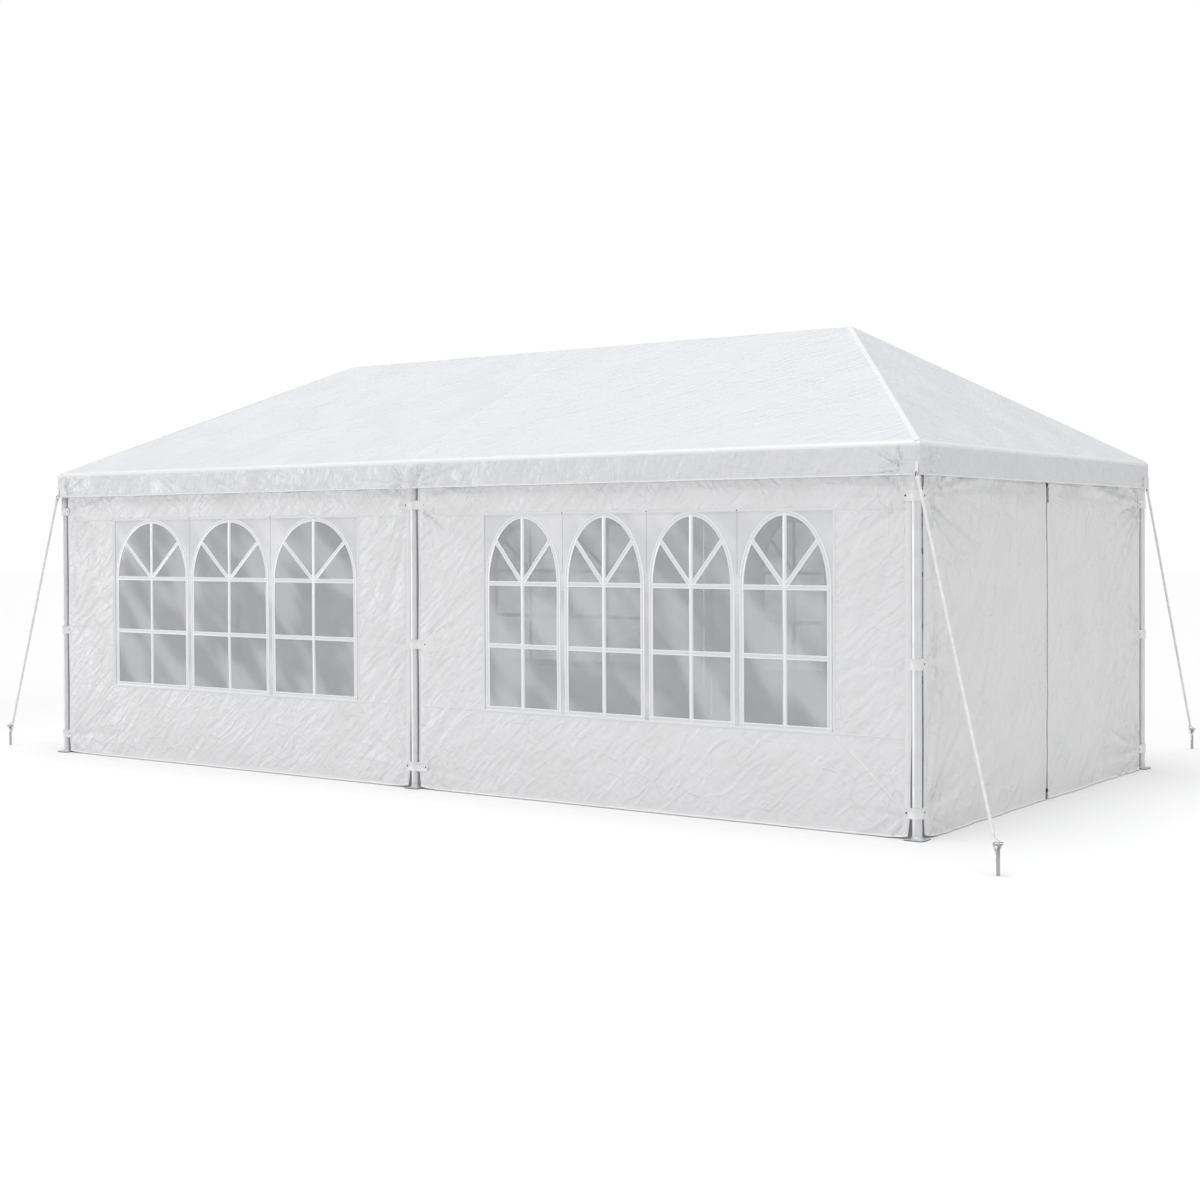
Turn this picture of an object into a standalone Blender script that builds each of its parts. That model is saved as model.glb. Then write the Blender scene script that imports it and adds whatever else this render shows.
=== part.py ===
"""Party marquee of 6 by 3 m: a push-together steel tube frame under a hipped cover,
with zipped end doors, window walls along both sides, and guy ropes at the corners.

Metres, +Z up, +X along the ridge. The origin is on the ground, under the middle post
of the front side; the tent stands over y = 0 to y = WIDTH."""

import math

import bmesh
import bpy
from mathutils import Matrix, Vector

# Driving sizes
BAY = 3.0
BAYS = 2
WIDTH = 3.0
EAVE_Z = 1.79
RIDGE_Z = 2.53
RIDGE_INSET = 1.11
OVERHANG = 0.033
VALANCE_DROP = 0.145

CLOTH = 0.003
FILM = 0.002
GAP = 0.0003
SEAM_SHIFT = 0.0004

# Frame
POST_R = 0.0225
TUBE_R = 0.016
SLEEVE_R = 0.019
SOCKET_R = 0.0245
SOCKET_FOOT_Z = 1.665
SOCKET_OVER = 0.005
ARM = 0.075
SIDES = 16

# Foot plate, weld collar and its two bolts
FOOT = 0.098
FOOT_T = 0.004
FOOT_ROUND = 0.014
COLLAR_R = 0.028
COLLAR_H = 0.014
BOLT_R = 0.007
BOLT_TOP = 0.011
BOLT_OFF = 0.034

# Clip bands that hold the wall edges to the posts
BAND_HEIGHTS = (0.12, 0.79, 1.55)
BAND_H = 0.05
BAND_R = 0.0275
EAR_OUT = 0.06
EAR_T = 0.003
EAR_ROUND = 0.02

# Walls, windows and end doors
WALL_FACE = 0.0122
WALL_FOOT_Z = 0.02
POST_CLEAR = 0.009
WINDOW_W = 2.09
WINDOW_LOW = 0.455
WINDOW_HIGH = 1.493
WINDOW_OFF = 0.045
FILM_LAP = 0.025
ZIP_W = 0.022
ZIP_T = 0.005
ZIP_FOOT_Z = 0.03

# Guy ropes and stakes
ROPE_R = 0.007
ROPE_TOP_Z = 1.70
ROPE_KNEE_Z = 1.655
ROPE_END_Z = 0.104
ROPE_TAIL_Z = 0.078
STAKE_R = 0.008
STAKE_H = 0.135
STAKE_HEAD = 0.048
STAKE_HEAD_R = 0.007

HALF = BAY * BAYS / 2
STAKES = {
    "front_right": (HALF + 0.635, -0.586),
    "front_left": (-HALF - 0.635, 0.028),
    "back_right": (HALF - 0.052, WIDTH + 1.131),
    "back_left": (-HALF + 0.052, WIDTH + 1.131),
}
CORNERS = {
    "front_right": (HALF, 0.0),
    "front_left": (-HALF, 0.0),
    "back_right": (HALF, WIDTH),
    "back_left": (-HALF, WIDTH),
}


def clear_scene():
    for obj in list(bpy.data.objects):
        bpy.data.objects.remove(obj, do_unlink=True)


def make_material(name, colour, roughness, metallic=0.0, alpha=1.0):
    mat = bpy.data.materials.new(name)
    mat.use_nodes = True
    shader = mat.node_tree.nodes["Principled BSDF"]
    shader.inputs["Base Color"].default_value = (*colour, 1.0)
    shader.inputs["Roughness"].default_value = roughness
    shader.inputs["Metallic"].default_value = metallic
    shader.inputs["Alpha"].default_value = alpha
    return mat


FINISHES = {
    "cover_cloth": ((0.90, 0.90, 0.92), 0.62),
    "wall_cloth": ((0.88, 0.88, 0.87), 0.66),
    "window_film": ((0.74, 0.75, 0.77), 0.12, 0.0, 0.45),
    "frame_tube": ((0.80, 0.81, 0.83), 0.32, 0.9),
    "joint_steel": ((0.72, 0.73, 0.75), 0.38, 0.9),
    "zip_tape": ((0.62, 0.63, 0.65), 0.55),
    "rope": ((0.90, 0.90, 0.90), 0.75),
    "stake_steel": ((0.70, 0.71, 0.73), 0.28, 1.0),
}


def place(name, mesh, finish, location=(0, 0, 0), turn=0.0):
    """One named object with a material of its own, turned about its vertical axis."""
    obj = bpy.data.objects.new(name, mesh)
    bpy.context.scene.collection.objects.link(obj)
    obj.location = location
    obj.rotation_euler = (0.0, 0.0, turn)
    mat = make_material(f"{name}_{finish}", *FINISHES[finish])
    if not mesh.materials:
        mesh.materials.append(mat)
    obj.material_slots[0].link = "OBJECT"
    obj.material_slots[0].material = mat
    return obj


def finish_mesh(bm, name, smooth_angle=None):
    bmesh.ops.recalc_face_normals(bm, faces=bm.faces)
    mesh = bpy.data.meshes.new(name)
    bm.to_mesh(mesh)
    bm.free()
    if smooth_angle is not None:
        mesh.shade_smooth()
        mesh.set_sharp_from_angle(angle=math.radians(smooth_angle))
    return mesh


def rod_mesh(name, start, end, radius, sides=SIDES):
    """A capped round bar between two points."""
    start = Vector(start)
    end = Vector(end)
    run = end - start
    bm = bmesh.new()
    bmesh.ops.create_cone(
        bm, cap_ends=True, segments=sides, radius1=radius, radius2=radius, depth=run.length
    )
    turn = run.to_track_quat("Z", "Y").to_matrix().to_4x4()
    bmesh.ops.transform(bm, matrix=Matrix.Translation((start + end) / 2) @ turn, verts=bm.verts)
    return finish_mesh(bm, name, 40)


def ball_mesh(name, centre, radius):
    bm = bmesh.new()
    bmesh.ops.create_uvsphere(bm, u_segments=SIDES, v_segments=8, radius=radius)
    bmesh.ops.translate(bm, vec=centre, verts=bm.verts)
    return finish_mesh(bm, name, 60)


def plate_mesh(name, low, high, round_off=0.0, round_axis=2, segments=3):
    """A flat plate between two corners, its edges along one axis rounded."""
    low = Vector(low)
    high = Vector(high)
    bm = bmesh.new()
    bmesh.ops.create_cube(bm, size=1.0)
    bmesh.ops.scale(bm, vec=high - low, verts=bm.verts)
    bmesh.ops.translate(bm, vec=(low + high) / 2, verts=bm.verts)
    if round_off:
        along = [
            e
            for e in bm.edges
            if abs((e.verts[1].co - e.verts[0].co).normalized()[round_axis]) > 0.9
        ]
        bmesh.ops.bevel(
            bm, geom=along, offset=round_off, segments=segments, profile=0.5, affect="EDGES"
        )
    return finish_mesh(bm, name)


def join_meshes(name, meshes):
    """Unites overlapping meshes into one closed body."""
    helpers = []
    for mesh in meshes:
        helper = bpy.data.objects.new(f"{name}_piece", mesh)
        bpy.context.scene.collection.objects.link(helper)
        helpers.append(helper)
    base = helpers[0]
    for other in helpers[1:]:
        other.hide_render = True
        other.display_type = "WIRE"
        cut = base.modifiers.new("Join", "BOOLEAN")
        cut.operation = "UNION"
        cut.solver = "EXACT"
        cut.object = other
    bpy.context.view_layer.update()
    joined = bpy.data.meshes.new_from_object(
        base.evaluated_get(bpy.context.evaluated_depsgraph_get())
    )
    for helper in helpers:
        bpy.data.objects.remove(helper, do_unlink=True)
    joined.name = name
    joined.materials.clear()
    joined.shade_smooth()
    joined.set_sharp_from_angle(angle=math.radians(40))
    return joined


class Roof:
    """The hipped roof's planes, and the frame's centre lines laid tangent under them."""

    def __init__(self):
        self.half_x = HALF + OVERHANG
        self.side_slope = math.atan2(RIDGE_Z - EAVE_Z, WIDTH / 2 + OVERHANG)
        self.end_slope = math.atan2(RIDGE_Z - EAVE_Z, RIDGE_INSET + OVERHANG)
        under = CLOTH + GAP + SLEEVE_R
        rise_at_post = OVERHANG * math.tan(self.side_slope)
        drop = under / math.cos(self.side_slope)
        self.rail_z = EAVE_Z + rise_at_post - drop
        self.ridge_axis_z = RIDGE_Z - drop
        end_drop = under / math.cos(self.end_slope)
        run = (self.ridge_axis_z + end_drop - EAVE_Z) / math.tan(self.end_slope)
        self.ridge_axis_x = self.half_x - run

    def ridge_end_x(self, depth):
        """Half the ridge's length on the surface that lies this deep inside the cover."""
        ridge_z = RIDGE_Z - depth / math.cos(self.side_slope)
        run = (ridge_z + depth / math.cos(self.end_slope) - EAVE_Z) / math.tan(self.end_slope)
        return self.half_x - run

    def side_z(self, y, depth):
        rise = (min(y, WIDTH - y) + OVERHANG) * math.tan(self.side_slope)
        return EAVE_Z + rise - depth / math.cos(self.side_slope)

    def end_z(self, x, depth):
        rise = (self.half_x - abs(x)) * math.tan(self.end_slope)
        return EAVE_Z + rise - depth / math.cos(self.end_slope)


def sheet_between(name, outer, inner):
    """A closed sheet between an outer outline and the matching inner one."""
    bm = bmesh.new()
    top = [bm.verts.new(p) for p in outer]
    low = [bm.verts.new(p) for p in inner]
    bm.faces.new(top)
    bm.faces.new(reversed(low))
    count = len(top)
    for i in range(count):
        j = (i + 1) % count
        bm.faces.new((top[j], top[i], low[i], low[j]))
    return finish_mesh(bm, name)


def make_roof(roof):
    """Four roof panels that meet in sewn hips and a sewn ridge."""

    def side_outline(depth, front):
        eave_y = -OVERHANG
        ridge_y = WIDTH / 2 - SEAM_SHIFT / 2
        eave_x = roof.half_x - SEAM_SHIFT
        ridge_x = roof.ridge_end_x(depth) - SEAM_SHIFT
        points = [(-eave_x, eave_y), (eave_x, eave_y), (ridge_x, ridge_y), (-ridge_x, ridge_y)]
        outline = [(x, y, roof.side_z(y, depth)) for x, y in points]
        if front:
            return outline
        return [(x, WIDTH - y, z) for x, y, z in outline]

    def end_outline(depth, side):
        eave_y = -OVERHANG
        points = [
            (roof.half_x, eave_y),
            (roof.half_x, WIDTH - eave_y),
            (roof.ridge_end_x(depth), WIDTH / 2),
        ]
        return [(side * x, y, roof.end_z(x, depth)) for x, y in points]

    for name, front in (("roof_front", True), ("roof_back", False)):
        outline = [side_outline(depth, front) for depth in (0.0, CLOTH)]
        place(name, sheet_between(name, *outline), "cover_cloth")
    for name, side in (("roof_right", 1), ("roof_left", -1)):
        outline = [end_outline(depth, side) for depth in (0.0, CLOTH)]
        place(name, sheet_between(name, *outline), "cover_cloth")


def make_valance(roof):
    """The straight skirt under the eaves, sewn from one strip to each side."""
    low = EAVE_Z - VALANCE_DROP
    side_top = EAVE_Z - CLOTH / math.cos(roof.side_slope) - GAP
    end_top = EAVE_Z - CLOTH / math.cos(roof.end_slope) - GAP
    side = plate_mesh(
        "valance_side",
        (-roof.half_x, -OVERHANG, low),
        (roof.half_x, -OVERHANG + CLOTH, side_top),
    )
    reach = OVERHANG - CLOTH - GAP
    end = plate_mesh(
        "valance_end",
        (OVERHANG - CLOTH, -reach, low),
        (OVERHANG, WIDTH + reach, end_top),
    )
    place("valance_front", side, "cover_cloth")
    place("valance_back", side, "cover_cloth", (0, WIDTH, 0), math.pi)
    place("valance_right", end, "cover_cloth", (HALF, 0, 0))
    place("valance_left", end, "cover_cloth", (-HALF, WIDTH, 0), math.pi)


def ear_mesh(name, z, direction):
    """A clip's ear: it lies on the outside of the wall cloth, along one wall."""
    face = WALL_FACE + GAP
    if direction == "-x":
        low = (-EAR_OUT, -face - EAR_T, z - BAND_H / 2)
        high = (0.0, -face, z + BAND_H / 2)
        return plate_mesh(name, low, high, EAR_ROUND, 1)
    if direction == "+x":
        low = (0.0, -face - EAR_T, z - BAND_H / 2)
        high = (EAR_OUT, -face, z + BAND_H / 2)
        return plate_mesh(name, low, high, EAR_ROUND, 1)
    low = (face, 0.0, z - BAND_H / 2)
    high = (face + EAR_T, EAR_OUT, z + BAND_H / 2)
    return plate_mesh(name, low, high, EAR_ROUND, 0)


def post_mesh(name, ears):
    """A leg tube with its welded foot plate and three clip bands."""
    half = FOOT / 2
    pieces = [
        rod_mesh(name, (0, 0, FOOT_T / 2), (0, 0, SOCKET_FOOT_Z - GAP), POST_R),
        plate_mesh(name, (-half, -half, 0), (half, half, FOOT_T), FOOT_ROUND),
        rod_mesh(name, (0, 0, FOOT_T / 2), (0, 0, COLLAR_H), COLLAR_R),
    ]
    for side in (-1, 1):
        x = side * BOLT_OFF
        y = -side * BOLT_OFF
        pieces.append(rod_mesh(name, (x, y, FOOT_T / 2), (x, y, BOLT_TOP), BOLT_R, 8))
    for z in BAND_HEIGHTS:
        ring_low = (0, 0, z - BAND_H / 2)
        ring_high = (0, 0, z + BAND_H / 2)
        ring = [rod_mesh(name, ring_low, ring_high, BAND_R)]
        pieces.append(join_meshes(name, ring + [ear_mesh(name, z, way) for way in ears]))
    return join_meshes(name, pieces)


def make_posts():
    corner = post_mesh("corner_post", ("-x", "+y"))
    middle = post_mesh("middle_post", ("-x", "+x"))
    place("post_front_right", corner, "frame_tube", (HALF, 0, 0))
    place("post_back_right", corner, "frame_tube", (HALF, WIDTH, 0), math.pi / 2)
    place("post_back_left", corner, "frame_tube", (-HALF, WIDTH, 0), math.pi)
    place("post_front_left", corner, "frame_tube", (-HALF, 0, 0), -math.pi / 2)
    place("post_front_middle", middle, "frame_tube")
    place("post_back_middle", middle, "frame_tube", (0, WIDTH, 0), math.pi)


def joint_mesh(name, arms):
    """An eave joint about its own centre: a socket for the post and an arm for each tube."""
    drop = ROOF.rail_z - SOCKET_FOOT_Z
    pieces = [
        rod_mesh(name, (0, 0, -drop), (0, 0, SOCKET_OVER), SOCKET_R),
        ball_mesh(name, (0, 0, 0), SLEEVE_R - GAP),
    ]
    for arm in arms:
        tip = Vector(arm).normalized() * ARM
        pieces.append(rod_mesh(name, (0, 0, 0), tip, SLEEVE_R))
    return join_meshes(name, pieces)


def tube_between(name, start, end):
    """A frame tube that runs between two joints and stops in their sleeves' ends."""
    start = Vector(start)
    end = Vector(end)
    step = (end - start).normalized() * (ARM + GAP)
    mesh = rod_mesh(name, start + step, end - step, TUBE_R)
    return place(name, mesh, "frame_tube")


def make_frame():
    """Eave joints, eave rails, hip and middle rafters, and the ridge."""
    z = ROOF.rail_z
    top_z = ROOF.ridge_axis_z
    top_x = ROOF.ridge_axis_x
    centre_y = WIDTH / 2
    for corner, (x, y) in CORNERS.items():
        side = 1 if x > 0 else -1
        inward = 1 if y < centre_y else -1
        rafter = Vector((side * top_x - x, centre_y - y, top_z - z))
        arms = ((-side, 0, 0), (0, inward, 0), rafter)
        name = f"eave_joint_{corner}"
        place(name, joint_mesh(name, arms), "joint_steel", (x, y, z))
        tube_between(f"hip_rafter_{corner}", (x, y, z), (side * top_x, centre_y, top_z))
    for side, y in (("front", 0.0), ("back", WIDTH)):
        rafter = Vector((0, centre_y - y, top_z - z))
        name = f"eave_joint_{side}_middle"
        mesh = joint_mesh(name, ((-1, 0, 0), (1, 0, 0), rafter))
        place(name, mesh, "joint_steel", (0, y, z))
        tube_between(f"middle_rafter_{side}", (0, y, z), (0, centre_y, top_z))
        tube_between(f"eave_rail_{side}_left", (-HALF, y, z), (0, y, z))
        tube_between(f"eave_rail_{side}_right", (0, y, z), (HALF, y, z))
    for side, x in (("left", -HALF), ("right", HALF)):
        tube_between(f"eave_rail_{side}", (x, 0, z), (x, WIDTH, z))
    place("ridge", ridge_mesh(), "frame_tube", (0, centre_y, top_z))


def ridge_mesh():
    """The ridge tube with its sleeves, and an arm for every rafter that meets it."""
    drop = ROOF.rail_z - ROOF.ridge_axis_z
    top_x = ROOF.ridge_axis_x
    name = "ridge"
    pieces = [
        rod_mesh(name, (-top_x, 0, 0), (top_x, 0, 0), TUBE_R),
        rod_mesh(name, (-ARM, 0, 0), (ARM, 0, 0), SLEEVE_R),
    ]
    for way in (-1, 1):
        tip = Vector((0, way * WIDTH / 2, drop)).normalized() * ARM
        pieces.append(rod_mesh(name, (0, 0, 0), tip, SLEEVE_R))
    for side in (-1, 1):
        end = Vector((side * top_x, 0, 0))
        inner = end - Vector((side * ARM, 0, 0))
        pieces.append(rod_mesh(name, inner, end, SLEEVE_R))
        pieces.append(ball_mesh(name, end, SLEEVE_R - GAP))
        for way in (-1, 1):
            run = Vector((side * HALF, way * WIDTH / 2, drop)) - end
            pieces.append(rod_mesh(name, end, end + run.normalized() * ARM, SLEEVE_R))
    return join_meshes(name, pieces)


def wall_top():
    """Where a wall's top edge meets the underside of the sleeves of the eave joints."""
    inner = WALL_FACE - CLOTH
    return ROOF.rail_z - math.sqrt(SLEEVE_R**2 - inner**2) - GAP


def window_wall_mesh(name):
    """One bay's wall in its own plane, from the left post, with the window cut out."""
    left = POST_R + POST_CLEAR
    right = BAY - left
    centre = BAY / 2 + WINDOW_OFF
    xs = (left, centre - WINDOW_W / 2, centre + WINDOW_W / 2, right)
    zs = (WALL_FOOT_Z, WINDOW_LOW, WINDOW_HIGH, wall_top())
    bm = bmesh.new()
    grid = [[bm.verts.new((x, -WALL_FACE, z)) for x in xs] for z in zs]
    faces = []
    for row in range(3):
        for col in range(3):
            if row == 1 and col == 1:
                continue
            corners = (
                grid[row][col],
                grid[row][col + 1],
                grid[row + 1][col + 1],
                grid[row + 1][col],
            )
            faces.append(bm.faces.new(corners))
    pushed = bmesh.ops.extrude_face_region(bm, geom=faces)["geom"]
    moved = [item for item in pushed if isinstance(item, bmesh.types.BMVert)]
    bmesh.ops.translate(bm, vec=(0, CLOTH, 0), verts=moved)
    return finish_mesh(bm, name)


def window_film_mesh(name):
    """The clear sheet sewn behind the window opening."""
    centre = BAY / 2 + WINDOW_OFF
    reach = WINDOW_W / 2 + FILM_LAP
    face = WALL_FACE - CLOTH - GAP
    low = (centre - reach, -face, WINDOW_LOW - FILM_LAP)
    high = (centre + reach, -face + FILM, WINDOW_HIGH + FILM_LAP)
    return plate_mesh(name, low, high)


def make_window_walls():
    wall = window_wall_mesh("window_wall")
    film = window_film_mesh("window_film")
    bays = {
        "front_left": ((-HALF, 0, 0), 0.0),
        "front_right": ((0, 0, 0), 0.0),
        "back_right": ((HALF, WIDTH, 0), math.pi),
        "back_left": ((0, WIDTH, 0), math.pi),
    }
    for bay, (location, turn) in bays.items():
        place(f"wall_{bay}", wall, "wall_cloth", location, turn)
        place(f"window_{bay}", film, "window_film", location, turn)


def make_end_doors():
    """Each end closes with two flaps that meet in a zip."""
    start = POST_R + POST_CLEAR
    middle = WIDTH / 2
    edge = middle - ZIP_W / 2 - GAP
    inner = WALL_FACE - CLOTH
    flap = plate_mesh("door_flap", (inner, start, WALL_FOOT_Z), (WALL_FACE, edge, wall_top()))
    centre = WALL_FACE - CLOTH / 2
    slide = plate_mesh(
        "door_zip",
        (centre - ZIP_T / 2, -ZIP_W / 2, ZIP_FOOT_Z),
        (centre + ZIP_T / 2, ZIP_W / 2, wall_top()),
    )
    other = plate_mesh(
        "door_flap_far",
        (inner, WIDTH - edge, WALL_FOOT_Z),
        (WALL_FACE, WIDTH - start, wall_top()),
    )
    place("door_right_front", flap, "wall_cloth", (HALF, 0, 0))
    place("door_right_back", other, "wall_cloth", (HALF, 0, 0))
    place("zip_right", slide, "zip_tape", (HALF, middle, 0))
    place("door_left_back", flap, "wall_cloth", (-HALF, WIDTH, 0), math.pi)
    place("door_left_front", other, "wall_cloth", (-HALF, WIDTH, 0), math.pi)
    place("zip_left", slide, "zip_tape", (-HALF, middle, 0), math.pi)


def make_guy_ropes():
    """A taut rope from each corner of the valance to a stake in the ground."""
    for corner, (x, y) in CORNERS.items():
        stake = Vector((*STAKES[corner], 0.0))
        outward = Vector((1 if x > 0 else -1, 1 if y > 0 else -1, 0))
        eave = Vector((x, y, 0)) + outward * OVERHANG
        hook = eave + outward.normalized() * (ROPE_R + GAP)
        back = Vector((hook.x - stake.x, hook.y - stake.y, 0)).normalized()
        foot = stake + back * (STAKE_R + ROPE_R + GAP)
        curve = bpy.data.curves.new(f"guy_rope_{corner}", "CURVE")
        curve.dimensions = "3D"
        curve.bevel_depth = ROPE_R
        curve.bevel_resolution = 4
        curve.use_fill_caps = True
        line = curve.splines.new("POLY")
        route = [
            hook + Vector((0, 0, ROPE_TOP_Z)),
            hook + Vector((0, 0, ROPE_KNEE_Z)),
            foot + Vector((0, 0, ROPE_END_Z)),
            foot + Vector((0, 0, ROPE_TAIL_Z)),
        ]
        line.points.add(len(route) - 1)
        for point, spot in zip(line.points, route):
            point.co = (*spot, 1.0)
        place(f"guy_rope_{corner}", curve, "rope")
        make_stake(f"stake_{corner}", stake, back)


def make_stake(name, spot, back):
    """The part of a steel stake that stands above the ground, with its T head."""
    head = STAKE_H - STAKE_HEAD_R
    mesh = join_meshes(
        name,
        [
            rod_mesh(name, (0, 0, 0), (0, 0, head), STAKE_R, 12),
            rod_mesh(
                name, (0, -STAKE_HEAD / 2, head), (0, STAKE_HEAD / 2, head), STAKE_HEAD_R, 12
            ),
        ],
    )
    place(name, mesh, "stake_steel", spot, math.atan2(back.y, back.x))


clear_scene()
ROOF = Roof()
make_roof(ROOF)
make_valance(ROOF)
make_posts()
make_frame()
make_window_walls()
make_end_doors()
make_guy_ropes()
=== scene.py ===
import math

import bmesh
import bpy
from mathutils import Matrix, Vector, noise


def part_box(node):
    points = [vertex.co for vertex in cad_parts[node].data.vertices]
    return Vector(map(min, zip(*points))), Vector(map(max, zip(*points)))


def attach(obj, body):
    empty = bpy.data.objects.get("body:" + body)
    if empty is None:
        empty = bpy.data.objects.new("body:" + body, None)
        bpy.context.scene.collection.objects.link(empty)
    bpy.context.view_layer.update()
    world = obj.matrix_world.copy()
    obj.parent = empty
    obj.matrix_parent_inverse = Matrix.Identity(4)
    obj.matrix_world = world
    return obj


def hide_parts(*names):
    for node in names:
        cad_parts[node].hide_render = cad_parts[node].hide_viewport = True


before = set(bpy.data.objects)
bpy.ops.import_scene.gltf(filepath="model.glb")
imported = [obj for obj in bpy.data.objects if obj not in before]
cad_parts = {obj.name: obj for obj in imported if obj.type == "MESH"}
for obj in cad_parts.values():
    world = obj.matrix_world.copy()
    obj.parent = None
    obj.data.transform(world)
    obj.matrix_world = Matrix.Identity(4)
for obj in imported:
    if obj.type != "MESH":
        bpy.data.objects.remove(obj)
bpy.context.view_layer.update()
print("Frame loaded,", len(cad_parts), "nodes")

scene = bpy.context.scene
upward = Vector((0, 0, 1))

# Where the frame puts the cover and the posts
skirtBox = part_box("valance_front")
tent = {
    "bay": 3.0,  # post centre to post centre
    "width": 3.0,
    "reach": skirtBox[1].x,  # half the cover's length at the eaves
    "front": skirtBox[0].y,
    "back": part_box("valance_back")[1].y,
    "ridge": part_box("roof_front")[1].z,
    "eave": 1.79,
    "ridgeHalf": 1.89,
    "hemZ": skirtBox[0].z,
    "wallTop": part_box("wall_front_right")[1].z,
    "wallFoot": 0.0045,  # the cloth nearly meets the floor
    "wallFace": 0.0122,  # the walls' outer face, from the posts' centre lines
}
clipHeights = (0.12, 0.79, 1.55)

camera = {
    "place": Vector((6.484, -7.286, 1.360)),
    "heading": math.radians(-35.69),
    "tilt": math.radians(-0.71),
    "lean": math.radians(-0.25),
    "lens": 53.14,
    "shiftY": -0.0325,
    "sensor": 36,
    "clipEnd": 200,
}


def makeCamera(c):
    ahead = Vector((
        math.sin(c["heading"]) * math.cos(c["tilt"]),
        math.cos(c["heading"]) * math.cos(c["tilt"]),
        math.sin(c["tilt"]),
    ))
    right = Vector((math.cos(c["heading"]), -math.sin(c["heading"]), 0))
    top = right.cross(ahead)
    leanRight = right * math.cos(c["lean"]) + top * math.sin(c["lean"])
    leanTop = top * math.cos(c["lean"]) - right * math.sin(c["lean"])
    data = bpy.data.cameras.new("camera")
    data.lens = c["lens"]
    data.sensor_width = c["sensor"]
    data.shift_y = c["shiftY"]
    data.clip_end = c["clipEnd"]
    eye = bpy.data.objects.new("camera", data)
    turn = Matrix((leanRight, leanTop, -ahead)).transposed()
    eye.matrix_world = Matrix.Translation(c["place"]) @ turn.to_4x4()
    scene.collection.objects.link(eye)
    scene.camera = eye


makeCamera(camera)

studio = {
    "skySeen": 1.0,
    "skyLight": 0.41,
    "skyColour": (0.985, 0.99, 1, 1),
    "key": ((-0.05, -0.10, 0.99), 1.98, math.radians(56)),  # a wide soft light almost overhead
    "leftFill": ((-0.86, -0.50, 0.05), 0.72, math.radians(14)),  # low, so that it grazes the long side
    "rightFill": ((0.88, -0.20, 0.42), 0.32, math.radians(14)),
    "floorSize": 120.0,
    "floorColour": (0.925, 0.925, 0.925),
    "floorBounce": (0.78, 0.78, 0.78),
    "floorRoughness": 0.9,
    "floorGloss": 0.1,
}


def add(tree, kind, sockets=None, **settings):
    made = tree.nodes.new(kind)
    for key, value in settings.items():
        setattr(made, key, value)
    for key, value in (sockets or {}).items():
        if isinstance(value, bpy.types.NodeSocket):
            tree.links.new(value, made.inputs[key])
        else:
            made.inputs[key].default_value = value
    return made


def mixed(tree, factor, first, second):
    sockets = {"Factor": factor, "A": first, "B": second}
    return add(tree, "ShaderNodeMix", sockets, data_type="RGBA").outputs["Result"]


def addSun(name, direction, power, spread):
    sun = bpy.data.lights.new(name, "SUN")
    sun.energy = power
    sun.angle = spread
    lamp = bpy.data.objects.new(name, sun)
    lamp.rotation_euler = Vector(direction).to_track_quat("Z", "Y").to_euler()
    scene.collection.objects.link(lamp)


def makeStudio(s):
    world = bpy.data.worlds.new("studio")
    scene.world = world
    world.use_nodes = True
    tree = world.node_tree
    tree.nodes.clear()
    ray = add(tree, "ShaderNodeLightPath").outputs["Is Camera Ray"]
    light = add(tree, "ShaderNodeBackground", {"Color": s["skyColour"], "Strength": s["skyLight"]})
    seen = add(tree, "ShaderNodeBackground", {"Color": (1, 1, 1, 1), "Strength": s["skySeen"]})
    mix = add(tree, "ShaderNodeMixShader", {0: ray, 1: light.outputs[0], 2: seen.outputs[0]})
    add(tree, "ShaderNodeOutputWorld", {0: mix.outputs[0]})
    for name in ("key", "leftFill", "rightFill"):
        addSun(name, *s[name])
    mesh = bpy.data.meshes.new("floor")
    half = s["floorSize"] / 2
    corners = [(-half, -half, 0), (half, -half, 0), (half, half, 0), (-half, half, 0)]
    mesh.from_pydata(corners, [], [(0, 1, 2, 3)])
    floor = bpy.data.objects.new("floor", mesh)
    pale = bpy.data.materials.new("floor")
    pale.use_nodes = True
    tree = pale.node_tree
    shader = tree.nodes["Principled BSDF"]
    ray = add(tree, "ShaderNodeLightPath").outputs["Is Camera Ray"]
    tone = mixed(tree, ray, (*s["floorBounce"], 1), (*s["floorColour"], 1))
    tree.links.new(tone, shader.inputs["Base Color"])
    shader.inputs["Roughness"].default_value = s["floorRoughness"]
    shader.inputs["Specular IOR Level"].default_value = s["floorGloss"]
    mesh.materials.append(pale)
    scene.collection.objects.link(floor)
    scene.view_settings.view_transform = "Standard"


makeStudio(studio)
print("Camera, light and floor are set")


# Shader groups that several materials share
def newGroup(name, inputs, outputs):
    tree = bpy.data.node_groups.new(name, "ShaderNodeTree")
    kinds = {"v": "NodeSocketVector", "f": "NodeSocketFloat", "c": "NodeSocketColor"}
    for label, kind, value in inputs:
        made = tree.interface.new_socket(name=label, in_out="INPUT", socket_type=kinds[kind])
        if value is not None:
            made.default_value = value
    for label, kind in outputs:
        tree.interface.new_socket(name=label, in_out="OUTPUT", socket_type=kinds[kind])
    source = tree.nodes.new("NodeGroupInput")
    drain = tree.nodes.new("NodeGroupOutput")
    return tree, source.outputs, drain.inputs


def calc(tree, operation, *values):
    return add(tree, "ShaderNodeMath", dict(enumerate(values)), operation=operation).outputs[0]


def ramp(tree, value, low, high, outLow=0.0, outHigh=1.0):
    sockets = {"Value": value, "From Min": low, "From Max": high}
    sockets.update({"To Min": outLow, "To Max": outHigh})
    made = add(tree, "ShaderNodeMapRange", sockets, interpolation_type="SMOOTHSTEP")
    return made.outputs["Result"]


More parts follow.
